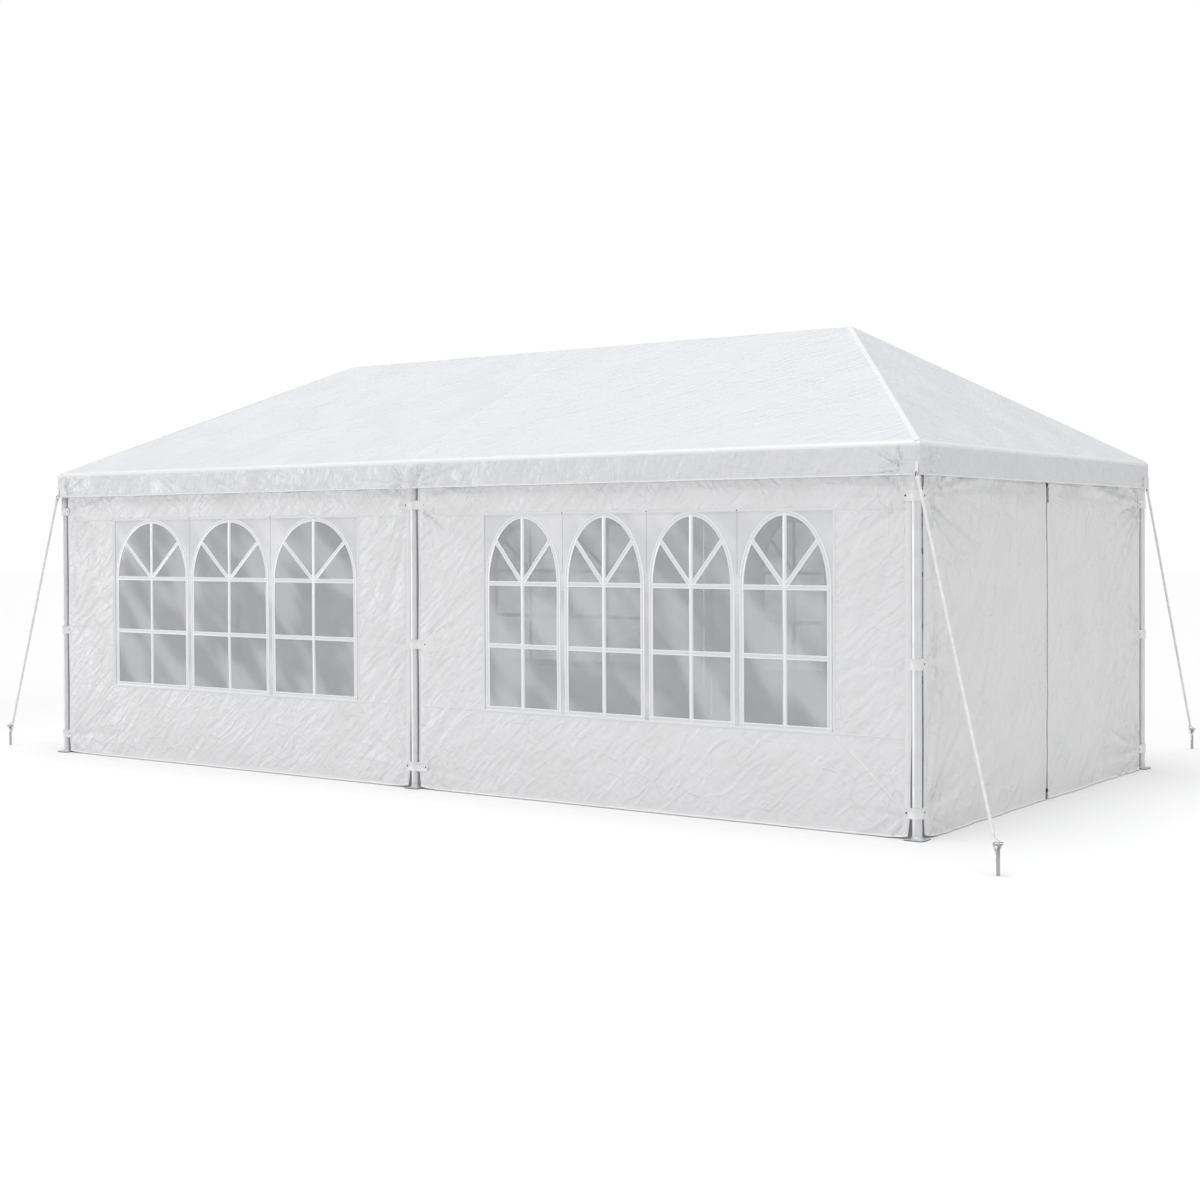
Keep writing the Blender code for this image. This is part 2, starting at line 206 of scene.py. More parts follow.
def turned(tree, place, angle, stretch):
    # the cloth's own coordinates, turned in its plane and drawn out one way
    spun = add(tree, "ShaderNodeVectorRotate", {"Vector": place, "Angle": angle}, rotation_type="Z_AXIS")
    scale = add(tree, "ShaderNodeCombineXYZ", {"X": 1.0, "Y": stretch, "Z": 1.0})
    sockets = {0: spun.outputs[0], 1: scale.outputs[0]}
    return add(tree, "ShaderNodeVectorMath", sockets, operation="MULTIPLY").outputs[0]


def crinkleGroup():
    # facets that meet in ridges, as in a sheet that was folded small
    inputs = [("Place", "v", None), ("Angle", "f", 0.6), ("Stretch", "f", 3.0), ("Scale", "f", 20.0)]
    tree, given, out = newGroup("crinkle", inputs, [("Height", "f")])
    place = turned(tree, given["Place"], given["Angle"], given["Stretch"])
    sockets = {"Vector": place, "Scale": given["Scale"], "Detail": 1.6, "Roughness": 0.42}
    sockets["Distortion"] = 0.2
    field = add(tree, "ShaderNodeTexNoise", sockets).outputs[0]
    folded = calc(tree, "ABSOLUTE", calc(tree, "SUBTRACT", field, 0.5))
    ridge = calc(tree, "MULTIPLY_ADD", folded, -2.5, 1.0)
    tree.links.new(calc(tree, "MULTIPLY_ADD", field, 0.35, ridge), out["Height"])
    return tree


def creaseGroup():
    inputs = [("Place", "v", None), ("Scale", "f", 9.0), ("Thin", "f", 0.05)]
    tree, given, out = newGroup("crease", inputs, [("Mask", "f")])
    wander = add(tree, "ShaderNodeTexNoise", {"Vector": given["Place"], "Scale": 5.0, "Detail": 2.0})
    sockets = {0: wander.outputs["Color"], 1: (0.12, 0.12, 0.0), 2: given["Place"]}
    shift = add(tree, "ShaderNodeVectorMath", sockets, operation="MULTIPLY_ADD")
    sockets = {"Vector": shift.outputs[0], "Scale": given["Scale"]}
    cells = add(tree, "ShaderNodeTexVoronoi", sockets, feature="DISTANCE_TO_EDGE")
    line = ramp(tree, cells.outputs["Distance"], 0.0, given["Thin"], 1.0, 0.0)
    patch = add(tree, "ShaderNodeTexNoise", {"Vector": given["Place"], "Scale": 3.1, "Detail": 1.0})
    kept = ramp(tree, patch.outputs[0], 0.46, 0.62)
    tree.links.new(calc(tree, "MULTIPLY", line, kept), out["Mask"])
    return tree


def weaveGroup():
    inputs = [("Place", "v", None), ("Pitch", "f", 0.0026)]
    tree, given, out = newGroup("weave", inputs, [("Height", "f")])
    apart = add(tree, "ShaderNodeSeparateXYZ", {0: given["Place"]})
    turns = calc(tree, "DIVIDE", 2 * math.pi, given["Pitch"])
    warp = calc(tree, "SINE", calc(tree, "MULTIPLY", apart.outputs["X"], turns))
    weft = calc(tree, "SINE", calc(tree, "MULTIPLY", apart.outputs["Y"], turns))
    tree.links.new(calc(tree, "MULTIPLY", warp, weft), out["Height"])
    return tree


def stitchGroup():
    # two rows of stitches along a tape, whose X runs across it and Y along it
    inputs = [("Place", "v", None), ("Offset", "f", 0.008), ("Pitch", "f", 0.007)]
    tree, given, out = newGroup("stitch", inputs, [("Mask", "f")])
    apart = add(tree, "ShaderNodeSeparateXYZ", {0: given["Place"]})
    side = calc(tree, "ABSOLUTE", apart.outputs["X"])
    away = calc(tree, "ABSOLUTE", calc(tree, "SUBTRACT", side, given["Offset"]))
    row = ramp(tree, away, 0.0004, 0.0013, 1.0, 0.0)
    beat = calc(tree, "FRACT", calc(tree, "DIVIDE", apart.outputs["Y"], given["Pitch"]))
    dash = ramp(tree, calc(tree, "ABSOLUTE", calc(tree, "SUBTRACT", beat, 0.5)), 0.3, 0.42, 1.0, 0.0)
    tree.links.new(calc(tree, "MULTIPLY", row, dash), out["Mask"])
    return tree


def mottleGroup():
    inputs = [("Place", "v", None), ("Clean", "c", None), ("Soiled", "c", None), ("Scale", "f", 4.0)]
    tree, given, out = newGroup("mottle", inputs, [("Color", "c"), ("Mask", "f")])
    sockets = {"Vector": given["Place"], "Scale": given["Scale"], "Detail": 4.0}
    field = add(tree, "ShaderNodeTexNoise", sockets)
    mask = ramp(tree, field.outputs[0], 0.35, 0.7)
    tree.links.new(mixed(tree, mask, given["Clean"], given["Soiled"]), out["Color"])
    tree.links.new(mask, out["Mask"])
    return tree


def grainGroup():
    # fine drawn lines along a tube, and the dull patches of its coating
    inputs = [("Place", "v", None), ("Scale", "f", 60.0)]
    tree, given, out = newGroup("grain", inputs, [("Height", "f"), ("Dull", "f")])
    drawn = add(tree, "ShaderNodeVectorMath", {0: given["Place"], 1: (1.0, 1.0, 0.04)}, operation="MULTIPLY")
    sockets = {"Vector": drawn.outputs[0], "Scale": given["Scale"], "Detail": 3.0}
    lines = add(tree, "ShaderNodeTexNoise", sockets)
    patch = add(tree, "ShaderNodeTexNoise", {"Vector": given["Place"], "Scale": 9.0, "Detail": 3.0})
    tree.links.new(lines.outputs[0], out["Height"])
    tree.links.new(ramp(tree, patch.outputs[0], 0.4, 0.7), out["Dull"])
    return tree


groups = {
    "crinkle": crinkleGroup(),
    "crease": creaseGroup(),
    "weave": weaveGroup(),
    "stitch": stitchGroup(),
    "mottle": mottleGroup(),
    "grain": grainGroup(),
}


def use(tree, name, sockets):
    return add(tree, "ShaderNodeGroup", sockets, node_tree=groups[name]).outputs


def newMaterial(name, plain, space="UV"):
    material = bpy.data.materials.new(name)
    material.use_nodes = True
    tree = material.node_tree
    shader = tree.nodes["Principled BSDF"]
    for key, value in plain.items():
        shader.inputs[key].default_value = value
    place = add(tree, "ShaderNodeTexCoord").outputs[space]
    return material, tree, shader, place


def addBump(tree, shader, height, depth):
    bump = add(tree, "ShaderNodeBump", {"Height": height, "Strength": 1.0, "Distance": depth})
    tree.links.new(bump.outputs[0], shader.inputs["Normal"])


def mottled(tree, shader, place, clean, soiled, scale):
    given = {"Place": place, "Clean": (*clean, 1), "Soiled": (*soiled, 1), "Scale": scale}
    found = use(tree, "mottle", given)
    tree.links.new(found["Color"], shader.inputs["Base Color"])
    return found


coverCloth = {
    "clean": (0.82, 0.826, 0.852),
    "soiled": (0.80, 0.806, 0.83),
    "roughness": (0.34, 0.5),
    "angle": -0.72,
    "stretch": 4.0,
    "scale": 6.0,
    "crinkleDepth": 0.0072,
    "creaseDepth": 0.0014,
    "fine": 0.36,
}
skirtCloth = {
    "clean": (0.815, 0.817, 0.828),
    "soiled": (0.79, 0.792, 0.803),
    "roughness": (0.34, 0.5),
    "angle": 0.5,
    "stretch": 2.2,
    "scale": 5.0,
    "crinkleDepth": 0.0068,
    "creaseDepth": 0.0012,
    "fine": 0.45,
}
# painted highlight: a lighter, glossier cloth on the eave's rounded bend and along the crease over each
# middle rafter
paintedHighlightCloth = {
    "clean": (0.91, 0.91, 0.925),
    "soiled": (0.89, 0.89, 0.905),
    "roughness": (0.26, 0.38),
    "angle": 0.0,
    "stretch": 0.5,
    "scale": 20.0,
    "crinkleDepth": 0.0012,
    "creaseDepth": 0.0002,
    "fine": 0.32,
}
wallCloth = {
    "clean": (0.868, 0.868, 0.876),
    "soiled": (0.842, 0.842, 0.848),
    "roughness": (0.38, 0.55),
    "angle": -0.7,
    "stretch": 3.4,
    "scale": 5.0,
    "crinkleDepth": 0.0062,
    "creaseDepth": 0.0017,
    "fine": 0.50,
}
doorCloth = {
    "clean": (0.868, 0.868, 0.870),
    "soiled": (0.85, 0.85, 0.85),
    "roughness": (0.38, 0.55),
    "angle": -0.9,
    "stretch": 3.0,
    "scale": 4.0,
    "crinkleDepth": 0.0078,
    "creaseDepth": 0.0018,
    "fine": 0.45,
}
glowLiningCloth = dict(wallCloth, paintedGlow=0.06)  # painted glow: the inner face gives off a little light, standing in for daylight that the sheet lets through
allCloth = {
    "soilScale": 3.0,
    "paintedGlowColour": (0.93, 0.94, 0.96, 1),
    "fineTurn": 1.4,  # the finer crinkles, against the broad ones
    "fineStretch": 1.7,
    "fineScale": 2.6,
    "creaseScale": 6.5,
    "creaseThin": 0.045,
    "weavePitch": 0.0026,
    "weaveShare": 0.004,
}


def clothMaterial(name, c):
    plain = {"Sheen Weight": 0.05, "Sheen Roughness": 0.4, "Specular IOR Level": 0.35}
    # the lining glows: emission as painted light, standing in for daylight through the cloth
    if "paintedGlow" in c:
        plain["Emission Color"] = allCloth["paintedGlowColour"]
        plain["Emission Strength"] = c["paintedGlow"]
    material, tree, shader, place = newMaterial(name, plain)
    found = mottled(tree, shader, place, c["clean"], c["soiled"], allCloth["soilScale"])
    rough = ramp(tree, found["Mask"], 0.0, 1.0, *c["roughness"])
    tree.links.new(rough, shader.inputs["Roughness"])
    first = {"Place": place, "Angle": c["angle"], "Stretch": c["stretch"], "Scale": c["scale"]}
    second = dict(first, Angle=c["angle"] + allCloth["fineTurn"], Stretch=allCloth["fineStretch"])
    second["Scale"] = c["scale"] * allCloth["fineScale"]
    one = use(tree, "crinkle", first)["Height"]
    two = use(tree, "crinkle", second)["Height"]
    lines = {"Place": place, "Scale": allCloth["creaseScale"], "Thin": allCloth["creaseThin"]}
    crease = use(tree, "crease", lines)["Mask"]
    weave = use(tree, "weave", {"Place": place, "Pitch": allCloth["weavePitch"]})["Height"]
    share = c["creaseDepth"] / c["crinkleDepth"]
    height = calc(tree, "MULTIPLY_ADD", two, c["fine"], one)
    height = calc(tree, "MULTIPLY_ADD", crease, share, height)
    height = calc(tree, "MULTIPLY_ADD", weave, allCloth["weaveShare"], height)
    addBump(tree, shader, height, c["crinkleDepth"])
    return material


trimCloth = {"clean": (0.865, 0.865, 0.872), "soiled": (0.84, 0.84, 0.846), "stitchDip": 0.0005}
tapeCloth = {"clean": (0.885, 0.888, 0.905), "soiled": (0.86, 0.863, 0.88), "stitchDip": 0.0005}
hemCloth = {"clean": (0.825, 0.828, 0.842), "soiled": (0.80, 0.803, 0.817), "stitchDip": 0.0005}
webbing = {"clean": (0.97, 0.97, 0.97), "soiled": (0.94, 0.94, 0.94), "stitchDip": 0.0005}


def trimMaterial(name, c, offset):
    plain = {"Roughness": 0.5, "Specular IOR Level": 0.35}
    material, tree, shader, place = newMaterial(name, plain)
    mottled(tree, shader, place, c["clean"], c["soiled"], 14.0)
    dips = use(tree, "stitch", {"Place": place, "Offset": offset, "Pitch": 0.007})["Mask"]
    ripple = use(tree, "crinkle", {"Place": place, "Angle": 0.0, "Stretch": 0.5, "Scale": 34.0})["Height"]
    height = calc(tree, "MULTIPLY_ADD", dips, -0.8, ripple)
    addBump(tree, shader, height, c["stitchDip"])
    return material


clearFilm = {
    "clean": (0.60, 0.604, 0.62),
    "soiled": (0.65, 0.654, 0.67),
    "glare": (0.75, 0.755, 0.78),  # the slanting bands where the film catches the light
    "alpha": (0.44, 0.64),
    "bands": (0.40, 0.66),
    "roughness": 0.12,
    "coat": 0.25,
}
frostFilm = {
    "clean": (0.87, 0.873, 0.895),
    "soiled": (0.89, 0.893, 0.915),
    "glare": (0.95, 0.95, 0.97),
    "alpha": (0.80, 0.92),
    "bands": (0.42, 0.68),
    "roughness": 0.55,
    "coat": 0.0,
}
hazyFilm = dict(frostFilm, clean=(0.82, 0.823, 0.84), soiled=(0.85, 0.853, 0.87), alpha=(0.74, 0.86))


def filmMaterial(name, f):
    plain = {"Roughness": f["roughness"], "Coat Weight": f["coat"], "Coat Roughness": 0.06}
    material, tree, shader, place = newMaterial(name, plain)
    found = mottled(tree, shader, place, f["clean"], f["soiled"], 5.0)
    haze = {"Vector": turned(tree, place, 0.80, 2.6), "Scale": 1.9, "Detail": 1.4, "Roughness": 0.4}
    veil = add(tree, "ShaderNodeTexNoise", haze).outputs[0]
    band = ramp(tree, veil, *f["bands"])
    colour = mixed(tree, band, found["Color"], (*f["glare"], 1))
    tree.links.new(colour, shader.inputs["Base Color"])
    low, high = f["alpha"]
    tree.links.new(calc(tree, "MULTIPLY_ADD", band, high - low, low), shader.inputs["Alpha"])
    addBump(tree, shader, veil, 0.004)
    return material


def vinylWithPaintedShading(name, middle, rim):
    material, tree, shader, place = newMaterial(name, {"Roughness": 0.32, "Coat Weight": 0.2})
    # the middle and the rims of a bar take two tones: painted highlight and painted shade across its ridges
    across = calc(tree, "ABSOLUTE", add(tree, "ShaderNodeSeparateXYZ", {0: place}).outputs["X"])
    edge = ramp(tree, across, 0.0042, 0.0078)
    tree.links.new(mixed(tree, edge, (*middle, 1), (*rim, 1)), shader.inputs["Base Color"])
    ripple = use(tree, "crinkle", {"Place": place, "Angle": 0.0, "Stretch": 0.4, "Scale": 22.0})["Height"]
    addBump(tree, shader, ripple, 0.0004)
    return material


def metalMaterial(name, clean, soiled, roughness, metallic, scale=800.0, depth=0.000008):
    material, tree, shader, place = newMaterial(name, {"Metallic": metallic}, "Object")
    mottled(tree, shader, place, clean, soiled, 12.0)
    grain = use(tree, "grain", {"Place": place, "Scale": scale})
    tree.links.new(ramp(tree, grain["Dull"], 0.0, 1.0, *roughness), shader.inputs["Roughness"])
    addBump(tree, shader, grain["Height"], depth)
    return material


def mouldedMaterial(name, clean, soiled, roughness):
    material, tree, shader, place = newMaterial(name, {"Roughness": roughness}, "Object")
    mottled(tree, shader, place, clean, soiled, 30.0)
    grit = add(tree, "ShaderNodeTexNoise", {"Vector": place, "Scale": 900.0, "Detail": 2.0})
    addBump(tree, shader, grit.outputs[0], 0.0001)
    return material


def tapeMaterial():
    material, tree, shader, place = newMaterial("zipTape", {"Roughness": 0.7, "Sheen Weight": 0.1})
    mottled(tree, shader, place, (0.57, 0.57, 0.58), (0.51, 0.51, 0.52), 60.0)
    weave = use(tree, "weave", {"Place": place, "Pitch": 0.0012})["Height"]
    addBump(tree, shader, weave, 0.0002)
    return material


materials = {
    "cover": clothMaterial("coverCloth", coverCloth),
    "edge": clothMaterial("paintedHighlightCloth", paintedHighlightCloth),
    "skirt": clothMaterial("skirtCloth", skirtCloth),
    "wall": clothMaterial("wallCloth", wallCloth),
    "door": clothMaterial("doorCloth", doorCloth),
    "glowLining": clothMaterial("glowLiningCloth", glowLiningCloth),
    "trim": trimMaterial("trimCloth", trimCloth, 0.008),
    "hem": trimMaterial("hemCloth", hemCloth, 0.0065),
    "tape": trimMaterial("seamTape", tapeCloth, 0.0125),
    "webbing": trimMaterial("webbing", webbing, 0.004),
    "pane": filmMaterial("clearFilm", clearFilm),
    "frost": filmMaterial("frostedFilm", frostFilm),
    "haze": filmMaterial("hazyFilm", hazyFilm),
    # the rib: painted highlight down its middle, painted shade at its rims; the channel: painted highlights
    # on its raised rims, painted shade in its groove
    "rib": vinylWithPaintedShading("ribVinylPaintedHighlight", (0.97, 0.97, 0.98), (0.80, 0.805, 0.825)),
    "channel": vinylWithPaintedShading("channelVinylPaintedHighlight", (0.82, 0.825, 0.84), (0.97, 0.97, 0.98)),
    "tube": metalMaterial(
        "paintedTube", (0.86, 0.864, 0.872), (0.82, 0.824, 0.832), (0.50, 0.58), 0.5, 60.0, 0.00008
    ),
    "joint": metalMaterial("zincJoint", (0.72, 0.73, 0.75), (0.60, 0.61, 0.63), (0.32, 0.5), 0.9, 300.0),
    "steel": metalMaterial("footSteel", (0.74, 0.74, 0.75), (0.66, 0.66, 0.67), (0.42, 0.56), 0.35),
    "peg": metalMaterial("pegSteel", (0.52, 0.52, 0.53), (0.38, 0.38, 0.39), (0.22, 0.38), 0.9),
    "dark": metalMaterial("darkSteel", (0.16, 0.16, 0.165), (0.10, 0.10, 0.105), (0.3, 0.5), 0.85),
    "clip": mouldedMaterial("clipPlastic", (0.90, 0.90, 0.905), (0.87, 0.87, 0.87), 0.34),
    "zip": tapeMaterial(),
    "teeth": mouldedMaterial("zipTeeth", (0.58, 0.58, 0.59), (0.50, 0.50, 0.51), 0.4),
    "rope": mouldedMaterial("ropeYarn", (0.92, 0.92, 0.92), (0.82, 0.82, 0.82), 0.75),
}
print("Materials are made")


# Making pieces
def makePiece(name, bm, finishes, stands=(), sharp=None):
    mesh = bpy.data.meshes.new(name)
    bm.to_mesh(mesh)
    bm.free()
    for finish in finishes:
        mesh.materials.append(materials[finish])
    mesh.shade_smooth()
    if sharp:
        mesh.set_sharp_from_angle(angle=math.radians(sharp))
    piece = bpy.data.objects.new(name, mesh)
    scene.collection.objects.link(piece)
    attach(piece, "root")
    if stands:
        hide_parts(*stands)
    return piece


def makeSolid(name, bm, finishes, stands=(), sharp=50, place=None):
    # closed skins: their faces are turned outward, and then they go to their place
    bmesh.ops.recalc_face_normals(bm, faces=bm.faces)
    if place is not None:
        bmesh.ops.transform(bm, matrix=place, verts=bm.verts)
    return makePiece(name, bm, finishes, stands, sharp)


def thicken(piece, depth, glowLining=None):
    solid = piece.modifiers.new("thickness", "SOLIDIFY")
    solid.thickness = depth
    solid.offset = -1
    if glowLining:
        # the sheet's inner face has a finish of its own, the lining that glows with painted light
        solid.material_offset = len(piece.data.materials)
        for _ in range(solid.material_offset):
            piece.data.materials.append(materials[glowLining])
    return piece


def runsOf(points):
    # how far along its line each point lies
    runs = [0.0]
    for before, after in zip(points[:-1], points[1:]):
        runs.append(runs[-1] + (after - before).length)
    return runs


def headings(points):
    # each point, with the way that its line takes there
    for k, point in enumerate(points):
        before, after = points[max(k - 1, 0)], points[min(k + 1, len(points) - 1)]
        yield point, (after - before).normalized()


def sweep(bm, stations, profile, ring=False, finish=0):
    # a closed profile carried along stations of (point, across, lift)
    layer = bm.loops.layers.uv.verify()
    points = []
    rows = []
    for point, across, lift in stations:
        points.append(point)
        rows.append([bm.verts.new(point + across * a + lift * b) for a, b in profile])
    if ring:
        points.append(points[0])
        rows.append(rows[0])
    runs = runsOf(points)
    for k in range(len(rows) - 1):
        for i in range(len(profile)):
            j = (i + 1) % len(profile)
            face = bm.faces.new((rows[k][i], rows[k + 1][i], rows[k + 1][j], rows[k][j]))
            face.material_index = finish
            spots = ((i, runs[k]), (i, runs[k + 1]), (j, runs[k + 1]), (j, runs[k]))
            for loop, (which, along) in zip(face.loops, spots):
                loop[layer].uv = (profile[which][0], along)
    if not ring:
        for row in (rows[0], list(reversed(rows[-1]))):
            bm.faces.new(row).material_index = finish


def addSkin(bm, rings, finish=0):
    # faces from ring to ring, and a lid on the first and the last
    found = []
    for lower, upper in zip(rings[:-1], rings[1:]):
        for k in range(len(lower)):
            n = (k + 1) % len(lower)
            found.append(bm.faces.new((lower[k], lower[n], upper[n], upper[k])))
    lids = [bm.faces.new(list(reversed(rings[0]))), bm.faces.new(rings[-1])]
    for face in found + lids:
        face.material_index = finish
    return found


def circle(count):
    return [2 * math.pi * k / count for k in range(count)]


def roundProfile(radius, count):
    return [(radius * math.cos(t), radius * math.sin(t)) for t in circle(count)]


def wave(x, y, z):
    return noise.noise(Vector((x, y, z)))


def eased(value):
    value = min(1.0, max(0.0, value))
    return value * value * (3 - 2 * value)


def spaced(marks, steps):
    # numbers from the first mark to the last, with a step of its own to each stretch
    found = [marks[0]]
    for low, high, step in zip(marks[:-1], marks[1:], steps):
        count = max(1, round((high - low) / step))
        found += [low + (high - low) * (k + 1) / count for k in range(count)]
    return found


def pulled(inward, rise, f):
    # folds that run out from a held point; inward and rise are the way from it into the cloth
    far = math.hypot(inward, rise)
    if far > 3.5 * f["reach"]:
        return 0.0
    turn = math.atan2(rise, inward) * f["density"]
    broad = math.hypot(wave(turn, far * 1.2, f["seed"]), 0.05)  # its crests are rounded
    narrow = abs(wave(turn * 2.3, far * 2.0, f["seed"] + 5))
    fade = (1 - math.exp(-((far / f["start"]) ** 2))) * math.exp(-far / f["reach"])
    return f["height"] * (1.1 - 2.4 * broad - 0.9 * narrow) * fade


rivetShape = ((0.0048, 0.0), (0.0046, 0.0008), (0.0034, 0.0016), (0.0014, 0.0021))


def addRivet(bm, centre, out, size=1.0, finish=1):
    across = out.cross(upward).normalized()
    ways = [across * math.cos(t) + upward * math.sin(t) for t in circle(12)]
    rings = []
    for radius, lift in rivetShape:
        rings.append([bm.verts.new(centre + (way * radius + out * lift) * size) for way in ways])
    addSkin(bm, rings, finish)


# The cover: one sheet over the ridge, the hips and the eaves, down to its hem
cover = {
    "edgeRise": 0.010,
    "edgeDrop": 0.016,
    "edgeSteps": 6,
    "slopeRows": 40,
    "skirtRows": 16,
    "highlightLineHalf": 0.008,  # of the painted highlight line over each middle rafter
    "closeStep": 0.014,  # near the posts
    "wideStep": 0.045,
    "closeReach": 0.33,
    "longSag": 0.016,
    "endSag": 0.010,
    "rafterCrest": 0.0045,
    "rafterHalf": 0.017,
    "rafterTent": 0.09,
    "swell": 0.0045,
    "slantFold": 0.0030,
    "thick": 0.0012,
    "flat": (3.69, 6.80),
    "area": 23.6,
}
gather = {"height": 0.0120, "reach": 0.13, "start": 0.025, "density": 5.0, "seed": 1.3}
socketBulge = {"height": 0.015, "half": 0.036, "top": 0.012, "taper": 0.05, "topEase": 0.03}
skirtFolds = {
    "depth": 0.145,  # from the eave to the hem
    "swell": 0.0060,
    "crease": 0.0062,
    "level": 0.3,
    "gatherFrom": 0.045,  # from a post's centre
    "gatherDrop": 0.118,
    "cornerEase": 0.03,
    "topEase": 0.025,
}


def makeSides():
    reach, front, back = tent["reach"], tent["front"], tent["back"]
    longLength = 2 * reach
    endLength = back - front
    lap = reach - tent["bay"]
    longPosts = (lap, lap + tent["bay"], lap + 2 * tent["bay"])
    endPosts = (lap, lap + tent["width"])
    rows = (
        ("front", (-reach, front), (1, 0), (0, -1), longLength, longPosts),
        ("right", (reach, front), (0, 1), (1, 0), endLength, endPosts),
        ("back", (reach, back), (-1, 0), (0, 1), longLength, longPosts),
        ("left", (-reach, back), (0, -1), (-1, 0), endLength, endPosts),
    )
    found = []
    for name, start, along, out, length, posts in rows:
        found.append({
            "name": name,
            "start": Vector((*start, 0)),
            "along": Vector((*along, 0)),
            "out": Vector((*out, 0)),
            "length": length,
            "posts": posts,
            "long": length > 2 * tent["bay"],
            "seed": 7.0 * len(found),
        })
    return found


sides = makeSides()


def skirtPush(side, a, drop):
    # how far the skirt stands out, at a distance along its side and a drop below the eave
    f, bulge, seed = skirtFolds, socketBulge, side["seed"]
    push = f["swell"] * wave(a * 2.4, drop * 7, seed) * drop / f["depth"]
    # creases that cross each other at a slant
    rising, falling = a + drop, a - drop
    push += f["crease"] * (f["level"] - abs(wave(rising * 6.5, falling * 1.6, seed + 3)))
    push += f["crease"] * (f["level"] - abs(wave(rising * 1.6, falling * 6.5, seed + 8)))
    for post in side["posts"]:
        for way in (-1, 1):
            inward = (a - post) * way - f["gatherFrom"]
            if inward > -0.01:
                folds = dict(gather, seed=gather["seed"] + post + way)
                push += pulled(max(inward, 0.0), f["gatherDrop"] - drop, folds)
    if side["long"]:
        off = abs(a - side["posts"][1])
        narrowing = min(1.0, max(0.01, (drop - bulge["top"]) / bulge["taper"]))
        half = bulge["half"] * math.sqrt(narrowing)
        push += bulge["height"] * math.exp(-((off / half) ** 4)) * eased(drop / bulge["topEase"])
    return push * eased(min(a, side["length"] - a) / f["cornerEase"]) * eased(drop / f["topEase"])


def skirtPoint(side, a, z):
    push = skirtPush(side, a, tent["eave"] - z)
    return side["start"] + side["along"] * a + side["out"] * push + upward * z


def roofSag(side, a, inset, level):
    # the cloth hangs a little between the ridge, hips, eaves and middle rafters
    share = (a - inset) / max(side["length"] - 2 * inset, 1e-6)
    free = math.sin(math.pi * min(1.0, max(0.0, level)))
    crest = 0.0
    if side["long"]:
        lateral = abs(math.sin(2 * math.pi * share)) ** 0.85
        depth = cover["longSag"]
        off = abs(a - side["length"] / 2)
        crest = math.exp(-((off / cover["rafterHalf"]) ** 2)) + math.exp(-off / cover["rafterTent"])
    else:
        lateral = math.sin(math.pi * min(1.0, max(0.0, share)))
        depth = cover["endSag"]
    hold = abs(lateral) * free**0.9
    ripple = cover["swell"] * wave(a * 2.6, level * 4.5 + a, side["seed"] + 9)
    slant = a + (level * 1.7 if side["long"] else level * -1.4)
    ripple += cover["slantFold"] * abs(wave(slant * 7, level * 1.5, side["seed"] + 2))
    return depth * hold + ripple * eased(3 * hold) - cover["rafterCrest"] * crest * free**0.3


def coverRows():
    height = tent["ridge"] - tent["eave"]
    longInset = tent["width"] / 2 - tent["front"]
    endInset = tent["reach"] - tent["ridgeHalf"]
    rows = []
    for k in range(cover["slopeRows"] + 1):
        share = 1 - k / cover["slopeRows"] * (1 - cover["edgeRise"] / height)
        rows.append((share * longInset, share * endInset, tent["eave"] + share * height, True))
    for k in range(1, cover["edgeSteps"] + 1):
        u = k / cover["edgeSteps"]
        share = (1 - u) ** 2 * cover["edgeRise"] / height
        z = tent["eave"] + share * height - u * u * cover["edgeDrop"]
        rows.append((share * longInset, share * endInset, z, True))
    top = rows[-1][2]
    for k in range(1, cover["skirtRows"] + 1):
        rows.append((0.0, 0.0, top + (tent["hemZ"] - top) * k / cover["skirtRows"], False))
    return rows


